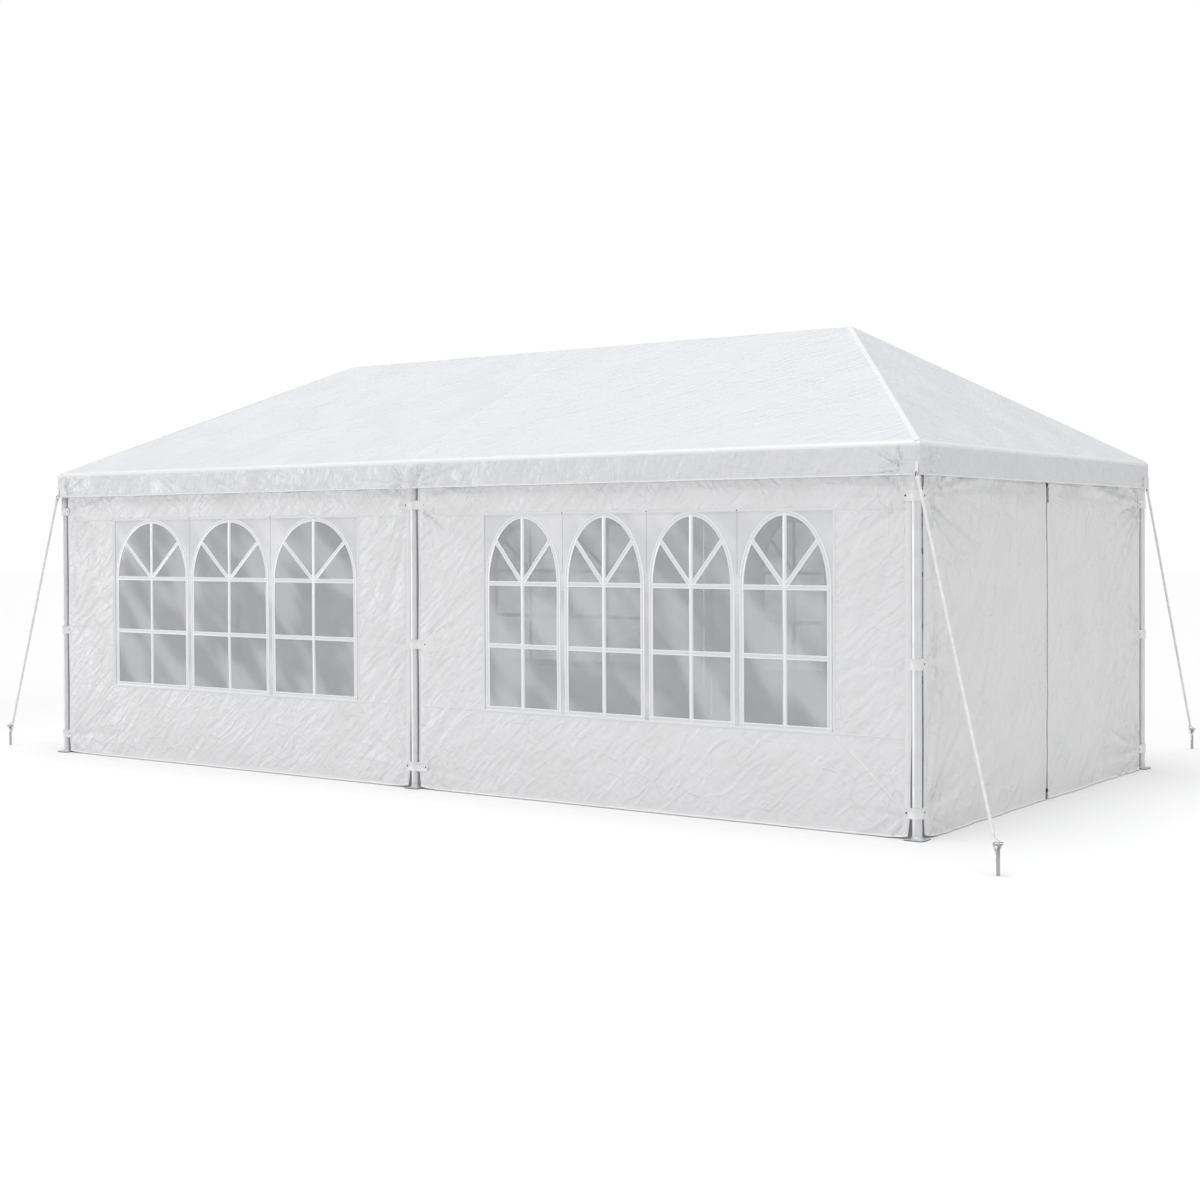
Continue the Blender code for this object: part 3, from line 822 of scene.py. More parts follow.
def makeCover():
    bm = bmesh.new()
    layer = bm.loops.layers.uv.verify()
    height = tent["ridge"] - tent["eave"]
    columns = []
    for side in sides:
        close = cover["closeReach"]
        if side["long"]:
            middle = side["length"] / 2
            marks = [0, close, middle - close, middle + close, side["length"] - close, side["length"]]
        else:
            marks = [0, close, side["length"] - close, side["length"]]
        steps = [cover["closeStep"] if k % 2 == 0 else cover["wideStep"] for k in range(len(marks) - 1)]
        spots = [a / side["length"] for a in spaced(marks, steps)]
        fine = [spots[0]]
        for before, after in zip(spots[:-1], spots[1:]):
            fine += [(before + after) / 2, after]
        columns.append((spots, fine))

    def ringOf(row, fine):
        longInset, endInset, z, sloped = row
        ring = []
        for side, both in zip(sides, columns):
            own, other = (longInset, endInset) if side["long"] else (endInset, longInset)
            for share in both[fine][:-1]:
                a = other + share * (side["length"] - 2 * other)
                if sloped:
                    place = side["start"] + side["along"] * a - side["out"] * own + upward * z
                    place.z -= roofSag(side, a, other, (tent["ridge"] - z) / height)
                else:
                    place = skirtPoint(side, a, z)
                ring.append(bm.verts.new(place))
        return ring

    def uvOf(side, vert):
        a = (vert.co - side["start"]).dot(side["along"])
        slope = math.hypot(1.0, (tent["width"] / 2 - tent["front"]) / height)
        drop = tent["ridge"] - vert.co.z
        down = min(drop, height) * slope + max(0.0, drop - height)
        return (a if side["long"] else -a, -down)

    def cellOf(k, fine):
        # the side that a column of faces lies on, and its place along it
        for side, both in zip(sides, columns):
            cells = len(both[fine]) - 1
            if k < cells:
                return side, (both[fine][k] + both[fine][k + 1]) / 2
            k -= cells
        return sides[-1], 1.0

    def addFace(verts, side, finish):
        face = bm.faces.new(verts)
        face.material_index = finish
        for loop in face.loops:
            loop[layer].uv = uvOf(side, loop.vert)

    rows = coverRows()
    rings = [ringOf(row, 0 if row[3] else 1) for row in rows]
    bend = range(cover["slopeRows"], cover["slopeRows"] + cover["edgeSteps"])
    for index, (upper, lower) in enumerate(zip(rings[:-1], rings[1:])):
        fine = 1 if len(upper) == len(rings[-1]) else 0
        count = len(upper)
        for k in range(count):
            n = (k + 1) % count
            side, share = cellOf(k, fine)
            # the skirt takes its own cloth; the eave's bend and the crease over each middle rafter take the
            # lighter cloth, a painted highlight
            finish = 0
            if index >= bend.stop:
                finish = 2
            elif index in bend:
                finish = 1
            elif side["long"] and abs(share - 0.5) * side["length"] < cover["highlightLineHalf"]:
                finish = 1
            if len(lower) == count:
                addFace((upper[k], lower[k], lower[n], upper[n]), side, finish)
            else:
                m = (2 * k + 2) % len(lower)
                addFace((upper[k], lower[2 * k], lower[2 * k + 1], lower[m], upper[n]), side, finish)
    bmesh.ops.remove_doubles(bm, verts=bm.verts, dist=1e-5)
    names = [f"{kind}_{side['name']}" for kind in ("roof", "valance") for side in sides]
    piece = makePiece("cover", bm, ["cover", "edge", "skirt"], names, 50)
    return thicken(piece, cover["thick"], "glowLining")


coverPiece = makeCover()
print("Cover is made")


# Hem, sewn tapes and patches of the cover
hem = {
    "profile": (
        (-0.0022, -0.0006), (-0.0014, 0.0012), (0.003, 0.0016), (0.0075, 0.0012), (0.0090, 0.0003),
        (0.0090, -0.0016), (0.0075, -0.0024), (0.003, -0.0028), (-0.0014, -0.0022),
    ),
    "step": 0.018,
    "rise": 0.0016,
    "piping": 0.0025,
    "pipingDown": 0.0008,  # its middle, from the hem's line
    "pipingOut": 0.0010,
}
seamTape = {
    "ridgeHalf": 0.014,
    "hipSide": 0.022,  # its width on the long slope, and on the end slope
    "hipEnd": 0.007,
    "hipStop": 0.99,  # the share of the hip that it covers
    "high": 0.0024,
    "steps": 90,
    "pucker": 0.0009,
}
patch = {
    "along": 0.10,
    "alongSteps": 9,
    "middleHalf": 0.055,
    "middleSteps": 14,
    "middleRows": 4,
    "height": 0.060,
    "rows": 6,
    "lift": 0.0012,
    "thick": 0.0012,
}


def makeHem():
    bm = bmesh.new()
    stations = []
    for side in sides:
        count = round(side["length"] / hem["step"])
        for k in range(count):
            a = side["length"] * k / count
            rise = hem["rise"] * wave(a * 3.1, side["seed"], 1.7) * eased(a / 0.1)
            place = skirtPoint(side, a, tent["hemZ"]) + upward * rise
            out = side["out"]
            if k == 0:
                out = side["out"] - side["along"]
            stations.append((place, upward, out))
    sweep(bm, stations, hem["profile"], ring=True)
    down, out = hem["pipingDown"], hem["pipingOut"]
    piping = [(a - down, b + out) for a, b in roundProfile(hem["piping"], 6)]
    sweep(bm, stations, piping, ring=True, finish=1)
    return makeSolid("skirt_hem", bm, ["hem", "webbing"])


def bentProfile(axis, slopes, lift):
    # across a tape that is folded over the line where two slopes meet
    across = axis.cross(lift).normalized()
    half = []
    for (normal, width), (other, _) in zip(slopes, reversed(slopes)):
        away = normal.cross(axis).normalized()
        if away.dot(other) > 0:
            away = -away
        spots = [(width, -0.0003), (width - 0.0012, 0.0016), (width * 0.55, 0.0013)]
        spots.append((0.003, seamTape["high"]))
        half.append([away * reach + normal * high for reach, high in spots])
    whole = half[0] + list(reversed(half[1])) + [lift * -0.0006]
    return [(spot.dot(across), spot.dot(lift)) for spot in whole]


def makeTapes():
    bm = bmesh.new()
    height = tent["ridge"] - tent["eave"]
    long = math.atan2(height, tent["width"] / 2 - tent["front"])
    short = math.atan2(height, tent["reach"] - tent["ridgeHalf"])
    top = {way: Vector((way * tent["ridgeHalf"], tent["width"] / 2, tent["ridge"])) for way in (-1, 1)}
    slope = {way: Vector((0, way * math.sin(long), math.cos(long))) for way in (-1, 1)}
    flat = seamTape["ridgeHalf"]
    lines = [(top[-1], top[1], [(slope[-1], flat), (slope[1], flat)])]
    for way in (-1, 1):
        gable = Vector((way * math.sin(short), 0, math.cos(short)))
        for side, y in ((-1, tent["front"]), (1, tent["back"])):
            corner = Vector((way * tent["reach"], y, tent["eave"]))
            slopes = [(slope[side], seamTape["hipSide"]), (gable, seamTape["hipEnd"])]
            lines.append((top[way], corner, slopes))
    for start, end, slopes in lines:
        axis = (end - start).normalized()
        mean = slopes[0][0] + slopes[1][0]
        lift = (mean - axis * mean.dot(axis)).normalized()
        stations = []
        for k in range(seamTape["steps"] + 1):
            share = k / seamTape["steps"]
            pucker = seamTape["pucker"] * wave(share * 60, start.x, end.y)
            if end.z < start.z:
                share *= seamTape["hipStop"]
            place = start.lerp(end, share) + lift * pucker
            stations.append((place, axis.cross(lift).normalized(), lift))
        sweep(bm, stations, bentProfile(axis, slopes, lift))
    return makeSolid("cover_tapes", bm, ["tape"])


def makePatches():
    # a doubled rectangle of cloth round each bottom corner of the skirt, and one at each middle post
    bm = bmesh.new()
    low = tent["hemZ"] + 0.001
    rows = [low + patch["height"] * k / patch["rows"] for k in range(patch["rows"] + 1)]
    steps, half, cuts = patch["alongSteps"], patch["middleHalf"], patch["middleSteps"]
    for index, side in enumerate(sides):
        before = sides[index - 1]
        line = []
        for k in range(steps):
            a = before["length"] - patch["along"] * (1 - k / steps)
            line.append((before, a, before["out"]))
        line.append((side, 0.0, before["out"] + side["out"]))
        for k in range(1, steps + 1):
            line.append((side, patch["along"] * k / steps, side["out"]))
        addPatch(bm, line, rows)
        if side["long"]:
            start = side["posts"][1] - half
            spots = [start + 2 * half * k / cuts for k in range(cuts + 1)]
            addPatch(bm, [(side, a, side["out"]) for a in spots], rows[:patch["middleRows"]])
    return makeSolid("skirt_patches", bm, ["skirt"])


def addPatch(bm, line, rows):
    layer = bm.loops.layers.uv.verify()
    skins = []
    for lift in (patch["lift"] + patch["thick"], patch["lift"]):
        skin = []
        for side, a, out in line:
            base = [skirtPoint(side, a, z) for z in rows]
            skin.append([bm.verts.new(place + out * lift) for place in base])
        skins.append(skin)
    outer, inner = skins
    last, top = len(line) - 1, len(rows) - 1
    faces = []
    for i in range(last):
        for j in range(top):
            faces.append((outer[i][j], outer[i + 1][j], outer[i + 1][j + 1], outer[i][j + 1]))
            faces.append((inner[i][j], inner[i][j + 1], inner[i + 1][j + 1], inner[i + 1][j]))
        for j in (0, top):
            faces.append((outer[i][j], outer[i + 1][j], inner[i + 1][j], inner[i][j]))
    for i in (0, last):
        for j in range(top):
            faces.append((outer[i][j], outer[i][j + 1], inner[i][j + 1], inner[i][j]))
    for verts in faces:
        face = bm.faces.new(verts)
        for loop in face.loops:
            loop[layer].uv = (loop.vert.co.z - rows[0] - 0.03, loop.vert.co.x + loop.vert.co.y)


hemPiece = makeHem()
tapePiece = makeTapes()
patchPiece = makePatches()
print("Hem, tapes and patches are sewn on")


# The walls stand in their own coordinates: s along the wall, z up, out of the tent.
# Each starts a little way past one post, and ends short of the next one or against its tube.
def wallPlan(origin, along, units, near, far, seed):
    plan = {"origin": origin, "units": units, "near": near, "far": tent["bay"] - far, "seed": seed}
    plan.update({"along": Vector((*along, 0)), "out": Vector((along[1], -along[0], 0))})
    plan["closed"] = far < 0.03
    plan["topBow"] = 0.002 if units else 0.012
    plan["folds"] = clipFold if units else endFold
    return plan


clipFold = {"height": 0.0098, "reach": 0.40, "start": 0.035, "density": 5.5, "seed": 0.7}
endFold = {"height": 0.0160, "reach": 0.75, "start": 0.045, "density": 6.5, "seed": 0.2}
foldShares = (1.0, 0.7, 1.3, 0.6)  # from the three clips, the lowest first, and from the top corner
walls = {
    "front_left": wallPlan((-3, 0), (1, 0), 3, 0.040, 0.0205, 11.0),
    "front_right": wallPlan((0, 0), (1, 0), 4, 0.037, 0.0205, 23.0),
    "back_right": wallPlan((3, 3), (-1, 0), 4, 0.040, 0.0205, 37.0),
    "back_left": wallPlan((0, 3), (-1, 0), 3, 0.037, 0.0205, 41.0),
    "right": wallPlan((3, 0), (0, 1), 0, 0.041, 0.062, 53.0),
    "left": wallPlan((-3, 3), (0, -1), 0, 0.062, 0.041, 67.0),
}
window = {"width": 2.09, "low": 0.455, "high": 1.493, "off": 0.045, "lap": 0.022}
wallSheet = {
    "fineStep": 0.011,  # within fineReach of a post
    "fineReach": 0.40,
    "wideStep": 0.026,
    "rowStep": 0.0155,
    "cornerLift": 0.011,  # the bottom corners are drawn up towards the lowest clips
    "bow": 0.005,
    "flare": 0.014,
    "closedFlare": 0.007,
    "thick": 0.0012,
    "bulge": 0.006,
    "ease": 0.12,  # the folds die out this near to a window or the zip
    "zipKeep": 0.25,  # the share of them that reaches the zip
    "pucker": 0.0007,  # along the seams of a window and the zip
    "packLine": 0.785,  # an end wall was stored folded along this height
    "packDepth": 0.0022,
    "packHalf": 0.012,
}
wrinkles = {
    "topCorner": 1.72,
    "swell": 0.0026,
    "level": 0.25,
    "creases": ((0.0034, 7, 2.2, 5), (0.0018, 5, 13, 6)),  # depth, closeness both ways, seed
    "endSwells": ((0.0150, 0.8, 3.0, 9), (0.0100, 3.2, 0.9, 12)),
}
window["left"] = tent["bay"] / 2 + window["off"] - window["width"] / 2
window["right"] = window["left"] + window["width"]


def edgeBow(wall, z, closed):
    # the side edges bow in between the clips, and fall away from the post below the lowest
    fall = wallSheet["flare"] * max(0.0, 1 - z / clipHeights[0])
    if closed:
        return fall + wallSheet["closedFlare"] * eased((0.55 - z) / 0.35)
    if z > clipHeights[2]:
        return wall["topBow"] * eased((z - clipHeights[2] - 0.02) / 0.04)
    for low, high in zip(clipHeights[:-1], clipHeights[1:]):
        if low < z < high:
            return wallSheet["bow"] * math.sin(math.pi * (z - low) / (high - low))
    return fall


def bulgeOf(s, z):
    return wallSheet["bulge"] * math.sin(math.pi * s / tent["bay"]) * math.sin(math.pi * z / 1.8)


def windowGap(s, z):
    # the way from the window's edge, nought inside it
    across = max(window["left"] - s, s - window["right"], 0.0)
    upright = max(window["low"] - z, z - window["high"], 0.0)
    return math.hypot(across, upright)


def foldsOf(wall, s, z):
    push = 0.0
    for k, height in enumerate((*clipHeights, wrinkles["topCorner"])):
        for pin, way in ((wall["near"], 1), (wall["far"], -1)):
            inward = (s - pin) * way
            if inward >= 0:
                folds = dict(wall["folds"], seed=wall["folds"]["seed"] + wall["seed"] + k * 2.1 + way)
                push += foldShares[k] * pulled(inward, z - height, folds)
    seed = wall["seed"]
    rising, falling = s + z, s - z
    push += wrinkles["swell"] * wave(s * 3.4 + z * 2.0, z * 3.0, seed)
    for depth, one, other, own in wrinkles["creases"]:
        push += depth * (wrinkles["level"] - abs(wave(falling * one, rising * other, seed + own)))
    if not wall["units"]:
        for depth, one, other, own in wrinkles["endSwells"]:
            push += depth * wave(rising * one, falling * other, seed + own)
    return push


def wallSpot(wall, s, z, lift=0.0):
    push = foldsOf(wall, s, z)
    f = wallSheet
    if wall["units"]:
        gap = windowGap(s, z)
        push *= eased(gap / f["ease"])
        pucker = f["pucker"] * math.sin((s + z) * 150 + 3 * wave(s * 5, z * 5, 2))
        push += pucker * math.exp(-gap / 0.03) * eased(gap / 0.01)
    else:
        line = f["packLine"] + 0.02 * wave(s * 2, wall["seed"], 0)
        crease = f["packDepth"] * math.exp(-(((z - line) / f["packHalf"]) ** 2))
        push += crease * (0.5 + wave(s * 3, 1, 8))
        zipGap = abs(s - tent["bay"] / 2)
        push *= f["zipKeep"] + (1 - f["zipKeep"]) * eased(zipGap / f["ease"])
        pucker = f["pucker"] * math.sin(z * 120 + 5 * wave(z * 6, 3, 3))
        push += pucker * math.exp(-zipGap / 0.05)
    fromNear, fromFar = s - wall["near"], wall["far"] - s
    push = push * eased(min(fromNear, fromFar) / 0.05) + bulgeOf(s, z)
    if wall["closed"]:
        push += 0.0010 * math.exp(-fromFar / 0.014)
    s += edgeBow(wall, z, False) * math.exp(-fromNear / 0.08)
    s -= edgeBow(wall, z, wall["closed"]) * math.exp(-fromFar / 0.08)
    drawn = math.exp(-fromNear / 0.06) + math.exp(-fromFar / 0.06)
    z += wallSheet["cornerLift"] * max(0.0, 1 - z / clipHeights[0]) * drawn
    return spotOn(wall, s, z, tent["wallFace"] + push + lift)


def spotOn(wall, s, z, out):
    x, y = (wall["origin"][k] + wall["along"][k] * s + wall["out"][k] * out for k in (0, 1))
    return Vector((x, y, z))


def makeGrid(wall, columns, rows, placeOf, hole=None):
    bm = bmesh.new()
    layer = bm.loops.layers.uv.verify()
    grid = [[bm.verts.new(placeOf(s, z)) for s in columns] for z in rows]
    for j in range(len(rows) - 1):
        for i in range(len(columns) - 1):
            middle = ((columns[i] + columns[i + 1]) / 2, (rows[j] + rows[j + 1]) / 2)
            if hole and hole(*middle):
                continue
            corners = ((i, j), (i + 1, j), (i + 1, j + 1), (i, j + 1))
            face = bm.faces.new([grid[b][a] for a, b in corners])
            for loop, (a, b) in zip(face.loops, corners):
                loop[layer].uv = (columns[a] + wall["seed"], rows[b])
    loose = [v for v in bm.verts if not v.link_faces]
    bmesh.ops.delete(bm, geom=loose, context="VERTS")
    return bm


def inWindow(s, z):
    return window["left"] < s < window["right"] and window["low"] < z < window["high"]


def makeWindowWall(name, wall):
    fine, wide, near = wallSheet["fineStep"], wallSheet["wideStep"], wall["near"]
    sMarks = [near, near + wallSheet["fineReach"], window["left"], window["right"], wall["far"]]
    zMarks = [tent["wallFoot"], window["low"], window["high"], tent["wallTop"]]
    columns = spaced(sMarks, [fine, 0.018, wide, fine])
    rows = spaced(zMarks, [wallSheet["rowStep"]] * 3)
    bm = makeGrid(wall, columns, rows, lambda s, z: wallSpot(wall, s, z), inWindow)
    piece = makePiece(f"wall_cloth_{name}", bm, ["wall"], [f"wall_{name}"])
    return thicken(piece, wallSheet["thick"], "glowLining")


trimShapes = {
    "edging": (
        (-0.0015, -0.0006), (-0.0008, 0.0010), (0.003, 0.0014), (0.016, 0.0012), (0.018, 0.0003),
        (0.018, -0.0015), (0.016, -0.0023), (0.003, -0.0025), (-0.0008, -0.0021),
    ),
    "sideEdging": (
        (-0.0015, -0.0006), (-0.0008, 0.0009), (0.002, 0.0013), (0.010, 0.0011), (0.0115, 0.0003),
        (0.0115, -0.0015), (0.010, -0.0022), (0.002, -0.0024), (-0.0008, -0.0020),
    ),
    "lapEdging": (
        (-0.0015, -0.0006), (-0.0008, 0.0012), (0.003, 0.0018), (0.026, 0.0016), (0.0285, 0.0004),
        (0.0285, -0.0015), (0.026, -0.0023), (0.003, -0.0025), (-0.0008, -0.0021),
    ),
    "frame": (
        (-0.005, -0.0030), (-0.005, 0.0002), (-0.0035, 0.0012),
        (0.007, 0.0012), (0.009, 0.0002), (0.009, -0.0004),
    ),
    "seam": ((-0.0030, -0.0004), (-0.0016, 0.0016), (0.0010, 0.0018), (0.0026, -0.0004)),
    "roll": (  # the rolled hem along the foot
        (-0.0015, -0.0006), (-0.0012, 0.0038), (0.0012, 0.0044), (0.0065, 0.0018), (0.0085, 0.0002),
    ),
    "rollLift": 0.0008,
    "step": 0.02,
}


def wallLine(wall, start, end, inward, lift=0.0):
    # stations along a straight line on a wall; inward is the profile's own first way
    sRun, zRun = end[0] - start[0], end[1] - start[1]
    count = max(2, round(math.hypot(sRun, zRun) / trimShapes["step"]))
    across = (wall["along"] * inward[0] + upward * inward[1]).normalized()
    found = []
    for k in range(count + 1):
        share = k / count
        s, z = start[0] + sRun * share, start[1] + zRun * share
        found.append((wallSpot(wall, s, z, lift), across, wall["out"]))
    return found


def makeWindowTrim(name, wall):
    edge, far = wall["near"], wall["far"]
    foot, top = tent["wallFoot"], tent["wallTop"]
    left, right, low, high = window["left"], window["right"], window["low"], window["high"]
    bm = bmesh.new()
    for shape, start, end, inward in (
        ("edging", (edge, foot), (far, foot), (0, 1)),
        ("edging", (edge, top), (far, top), (0, -1)),
        ("sideEdging", (edge, foot), (edge, top), (1, 0)),
        ("lapEdging", (far, foot), (far, top), (-1, 0)),
        ("frame", (left, low), (right, low), (0, -1)),
        ("frame", (left, high), (right, high), (0, 1)),
        ("frame", (left, low), (left, high), (-1, 0)),
        ("frame", (right, low), (right, high), (1, 0)),
    ):
        sweep(bm, wallLine(wall, start, end, inward), trimShapes[shape])
    line = wallLine(wall, (edge, foot), (far, foot), (0, 1), trimShapes["rollLift"])
    sweep(bm, line, trimShapes["roll"], finish=1)
    trim = makeSolid(f"wall_trim_{name}", bm, ["trim", "webbing"])
    bm = bmesh.new()
    rim, inset = 0.01, 0.02  # from the window and from the wall's own edge
    mitre = top - high - rim - inset
    for start, end in (
        ((left - rim, low - rim), (edge + inset, clipHeights[0])),
        ((right + rim, low - rim), (far - inset, clipHeights[0])),
        ((left - rim, high + rim), (left - mitre, top - inset)),
        ((right + rim, high + rim), (right + mitre, top - inset)),
        ((edge + inset, low), (left - rim, low)),
        ((right + rim, low), (far - inset, low)),
        ((edge + inset, high), (left - rim, high)),
        ((right + rim, high), (far - inset, high)),
    ):
        run = Vector((end[0] - start[0], end[1] - start[1]))
        stitched = 0 if run.y == 0 else 1  # the slanting seams are sewn in white
        sweep(bm, wallLine(wall, start, end, (-run.y, run.x)), trimShapes["seam"], finish=stitched)
    seams = makeSolid(f"wall_seams_{name}", bm, ["wall", "webbing"], sharp=60)
    return [trim, seams]


# The film behind each opening, and the arches and bars welded on it
pane = {
    "step": 0.022,
    "face": 0.0089,
    "thick": 0.0008,
    "wave": 0.0030,
    "between": 0.026,  # the gap between two arches
    "bar": 0.025,
    "spring": 1.128,
    "middle": 0.80,
    "sill": 0.468,
    "fan": math.radians(40),
    "frostFrom": 1.10,
    "tuck": 0.0008,  # outside the opening the film lies this much deeper
    "barStep": 0.03,
    "arcSteps": 40,
    "rivet": 0.75,
}
barLifts = {"arch": 0.0004, "rib": 0.0002, "cross": 0.0003, "sill": 0.0005, "fan": 0.0001, "weld": 0.0002}
barShapes = {
    "rib": (
        (-0.0125, 0.0), (-0.0120, 0.0006), (-0.0070, 0.0009), (-0.0045, 0.0021), (0.0045, 0.0021),
        (0.0070, 0.0009), (0.0120, 0.0006), (0.0125, 0.0),
    ),
    "channel": (
        (-0.0125, 0.0), (-0.0120, 0.0012), (-0.0105, 0.0020), (-0.0068, 0.0018), (-0.0046, 0.0008),
        (0.0046, 0.0008), (0.0068, 0.0018), (0.0105, 0.0020), (0.0120, 0.0012), (0.0125, 0.0),
    ),
    "weld": ((-0.0013, 0.0), (-0.0008, 0.0007), (0.0008, 0.0007), (0.0013, 0.0)),
}


def filmSpot(wall, s, z, lift=0.0):
    left, right, low, high = window["left"], window["right"], window["low"], window["high"]
    rim = min(s - left, right - s, z - low, high - z)
    swell = wave(s * 2.3 + z, z * 1.8, wall["seed"] + 1)
    swell += 0.5 * wave(s * 5.5 - z * 3, z * 4.5, wall["seed"] + 2)
    out = pane["face"] + bulgeOf(s, z) + pane["wave"] * swell * eased(rim / wallSheet["ease"]) + lift
    if rim < 0:
        out -= pane["tuck"]
    return spotOn(wall, s, z, out)


def archOf(wall):
    pitch = window["width"] / wall["units"]
    half = (pitch - pane["between"]) / 2 - pane["bar"] / 2
    rise = window["high"] - pane["spring"] - pane["bar"] / 2
    return pitch, half, rise


def archGap(wall, s, z):
    # the way out of the nearest arch, negative inside it, and the way it points
    pitch, half, rise = archOf(wall)
    unit = math.floor((s - window["left"]) / pitch)
    unit = min(wall["units"] - 1, max(0, unit))
    centre = window["left"] + pitch * (unit + 0.5)
    x, up = s - centre, z - pane["spring"]
    if up > 0:
        level = math.hypot(x / half, up / rise)
        slope = Vector((x / half**2, up / rise**2)) / max(level, 1e-6)
        return (level - 1) / max(slope.length, 1e-6), slope.normalized()
    side = abs(x) - half
    floor = pane["sill"] - z
    if floor > side:
        return floor, Vector((0, -1))
    return side, Vector((math.copysign(1, x), 0))


def makeFilm(name, wall):
    lap, step = window["lap"], pane["step"]
    columns = spaced([window["left"] - lap, window["right"] + lap], [step])
    rows = spaced([window["low"] - lap, window["high"] + lap], [step])

    def placeOf(s, z):
        gap, way = archGap(wall, s, z)
        if abs(gap) < step / 2:
            s -= way.x * gap
            z -= way.y * gap
        return filmSpot(wall, s, z)

    bm = makeGrid(wall, columns, rows, placeOf)
    layer = bm.loops.layers.uv.verify()
    for face in bm.faces:
        s = sum(loop[layer].uv.x for loop in face.loops) / 4 - wall["seed"]
        z = sum(loop[layer].uv.y for loop in face.loops) / 4
        if archGap(wall, s, z)[0] > 0:
            face.material_index = 1 if z > pane["frostFrom"] else 2
    piece = makePiece(f"film_{name}", bm, ["pane", "frost", "haze"], [f"window_{name}"])
    return thicken(piece, pane["thick"])


def barStations(wall, points, lift):
    found = []
    for (s, z), (_, run) in zip(points, headings([Vector(point) for point in points])):
        across = wall["along"] * -run.y + upward * run.x
        found.append((filmSpot(wall, s, z, lift), across, wall["out"]))
    return found


def straight(start, end):
    count = max(2, round(math.dist(start, end) / pane["barStep"]))
    shares = [k / count for k in range(count + 1)]
    return [(start[0] + (end[0] - start[0]) * t, start[1] + (end[1] - start[1]) * t) for t in shares]


def makeBars(name, wall):
    pitch, half, rise = archOf(wall)
    sill, spring, middle = pane["sill"], pane["spring"], pane["middle"]
    bm = bmesh.new()
    for unit in range(wall["units"]):
        c = window["left"] + pitch * (unit + 0.5)
        outline = straight((c - half, sill), (c - half, spring))[:-1]
        turns = [math.pi * (1 - k / pane["arcSteps"]) for k in range(pane["arcSteps"] + 1)]
        outline += [(c + half * math.cos(t), spring + rise * math.sin(t)) for t in turns]
        outline += straight((c + half, spring), (c + half, sill))[1:]
        sweep(bm, barStations(wall, outline, barLifts["arch"]), barShapes["channel"], finish=1)
        rib = straight((c, sill), (c, spring + rise))
        sweep(bm, barStations(wall, rib, barLifts["rib"]), barShapes["rib"])
        tipX, tipZ = half * math.cos(pane["fan"]), rise * math.sin(pane["fan"])
        for start, end, kind in (
            ((c - half, spring), (c + half, spring), "cross"),
            ((c - half, middle), (c + half, middle), "cross"),
            ((c - half - 0.012, sill), (c + half + 0.012, sill), "sill"),
            ((c, spring), (c - tipX, spring + tipZ), "fan"),
            ((c, spring), (c + tipX, spring + tipZ), "fan"),
        ):
            bar = barStations(wall, straight(start, end), barLifts[kind])
            sweep(bm, bar, barShapes["channel"], finish=1)
        if unit:
            # a weld down the film between two arches, under a small rivet
            s = c - pitch / 2
            weld = straight((s, window["high"] - 0.004), (s, spring + 0.06))
            sweep(bm, barStations(wall, weld, barLifts["weld"]), barShapes["weld"], finish=2)
            head = wallSpot(wall, s, window["high"] + 0.002, wallSheet["thick"])
            addRivet(bm, head, wall["out"], pane["rivet"], 3)
    finishes = ["rib", "channel", "teeth", "dark"]
    return makeSolid(f"window_bars_{name}", bm, finishes, sharp=40)


for bay, bayWall in walls.items():
    if not bayWall["units"]:
        continue
    cloth = makeWindowWall(bay, bayWall)
    sewn = makeWindowTrim(bay, bayWall)
    glazing = makeFilm(bay, bayWall)
    bars = makeBars(bay, bayWall)
    print("Window wall", bay, "is made")


# End doors: two flaps to an end, and the zip between them
door = {"zipHalf": 0.0113, "part": 0.007, "partBelow": 0.22, "trimSteps": 72, "flat": (1.46, 1.75)}
pipingShape = (
    (-0.0010, -0.0006), (-0.0005, 0.0022), (0.002, 0.0032), (0.006, 0.0032), (0.009, 0.0026),
    (0.0105, 0.0003), (0.010, -0.0014), (0.0085, -0.0020), (0.003, -0.0024),
)


def zipEdge(z, way):
    apart = door["part"] * eased((door["partBelow"] - z) / door["partBelow"])
    return tent["bay"] / 2 + way * (door["zipHalf"] + apart)


def flapSpot(wall, way, share, z, lift=0.0):
    # share runs from the zip, nought, to the post, one
    inner = zipEdge(z, way)
    outer = wall["near"] if way < 0 else wall["far"]
    return wallSpot(wall, inner + (outer - inner) * share, z, lift)


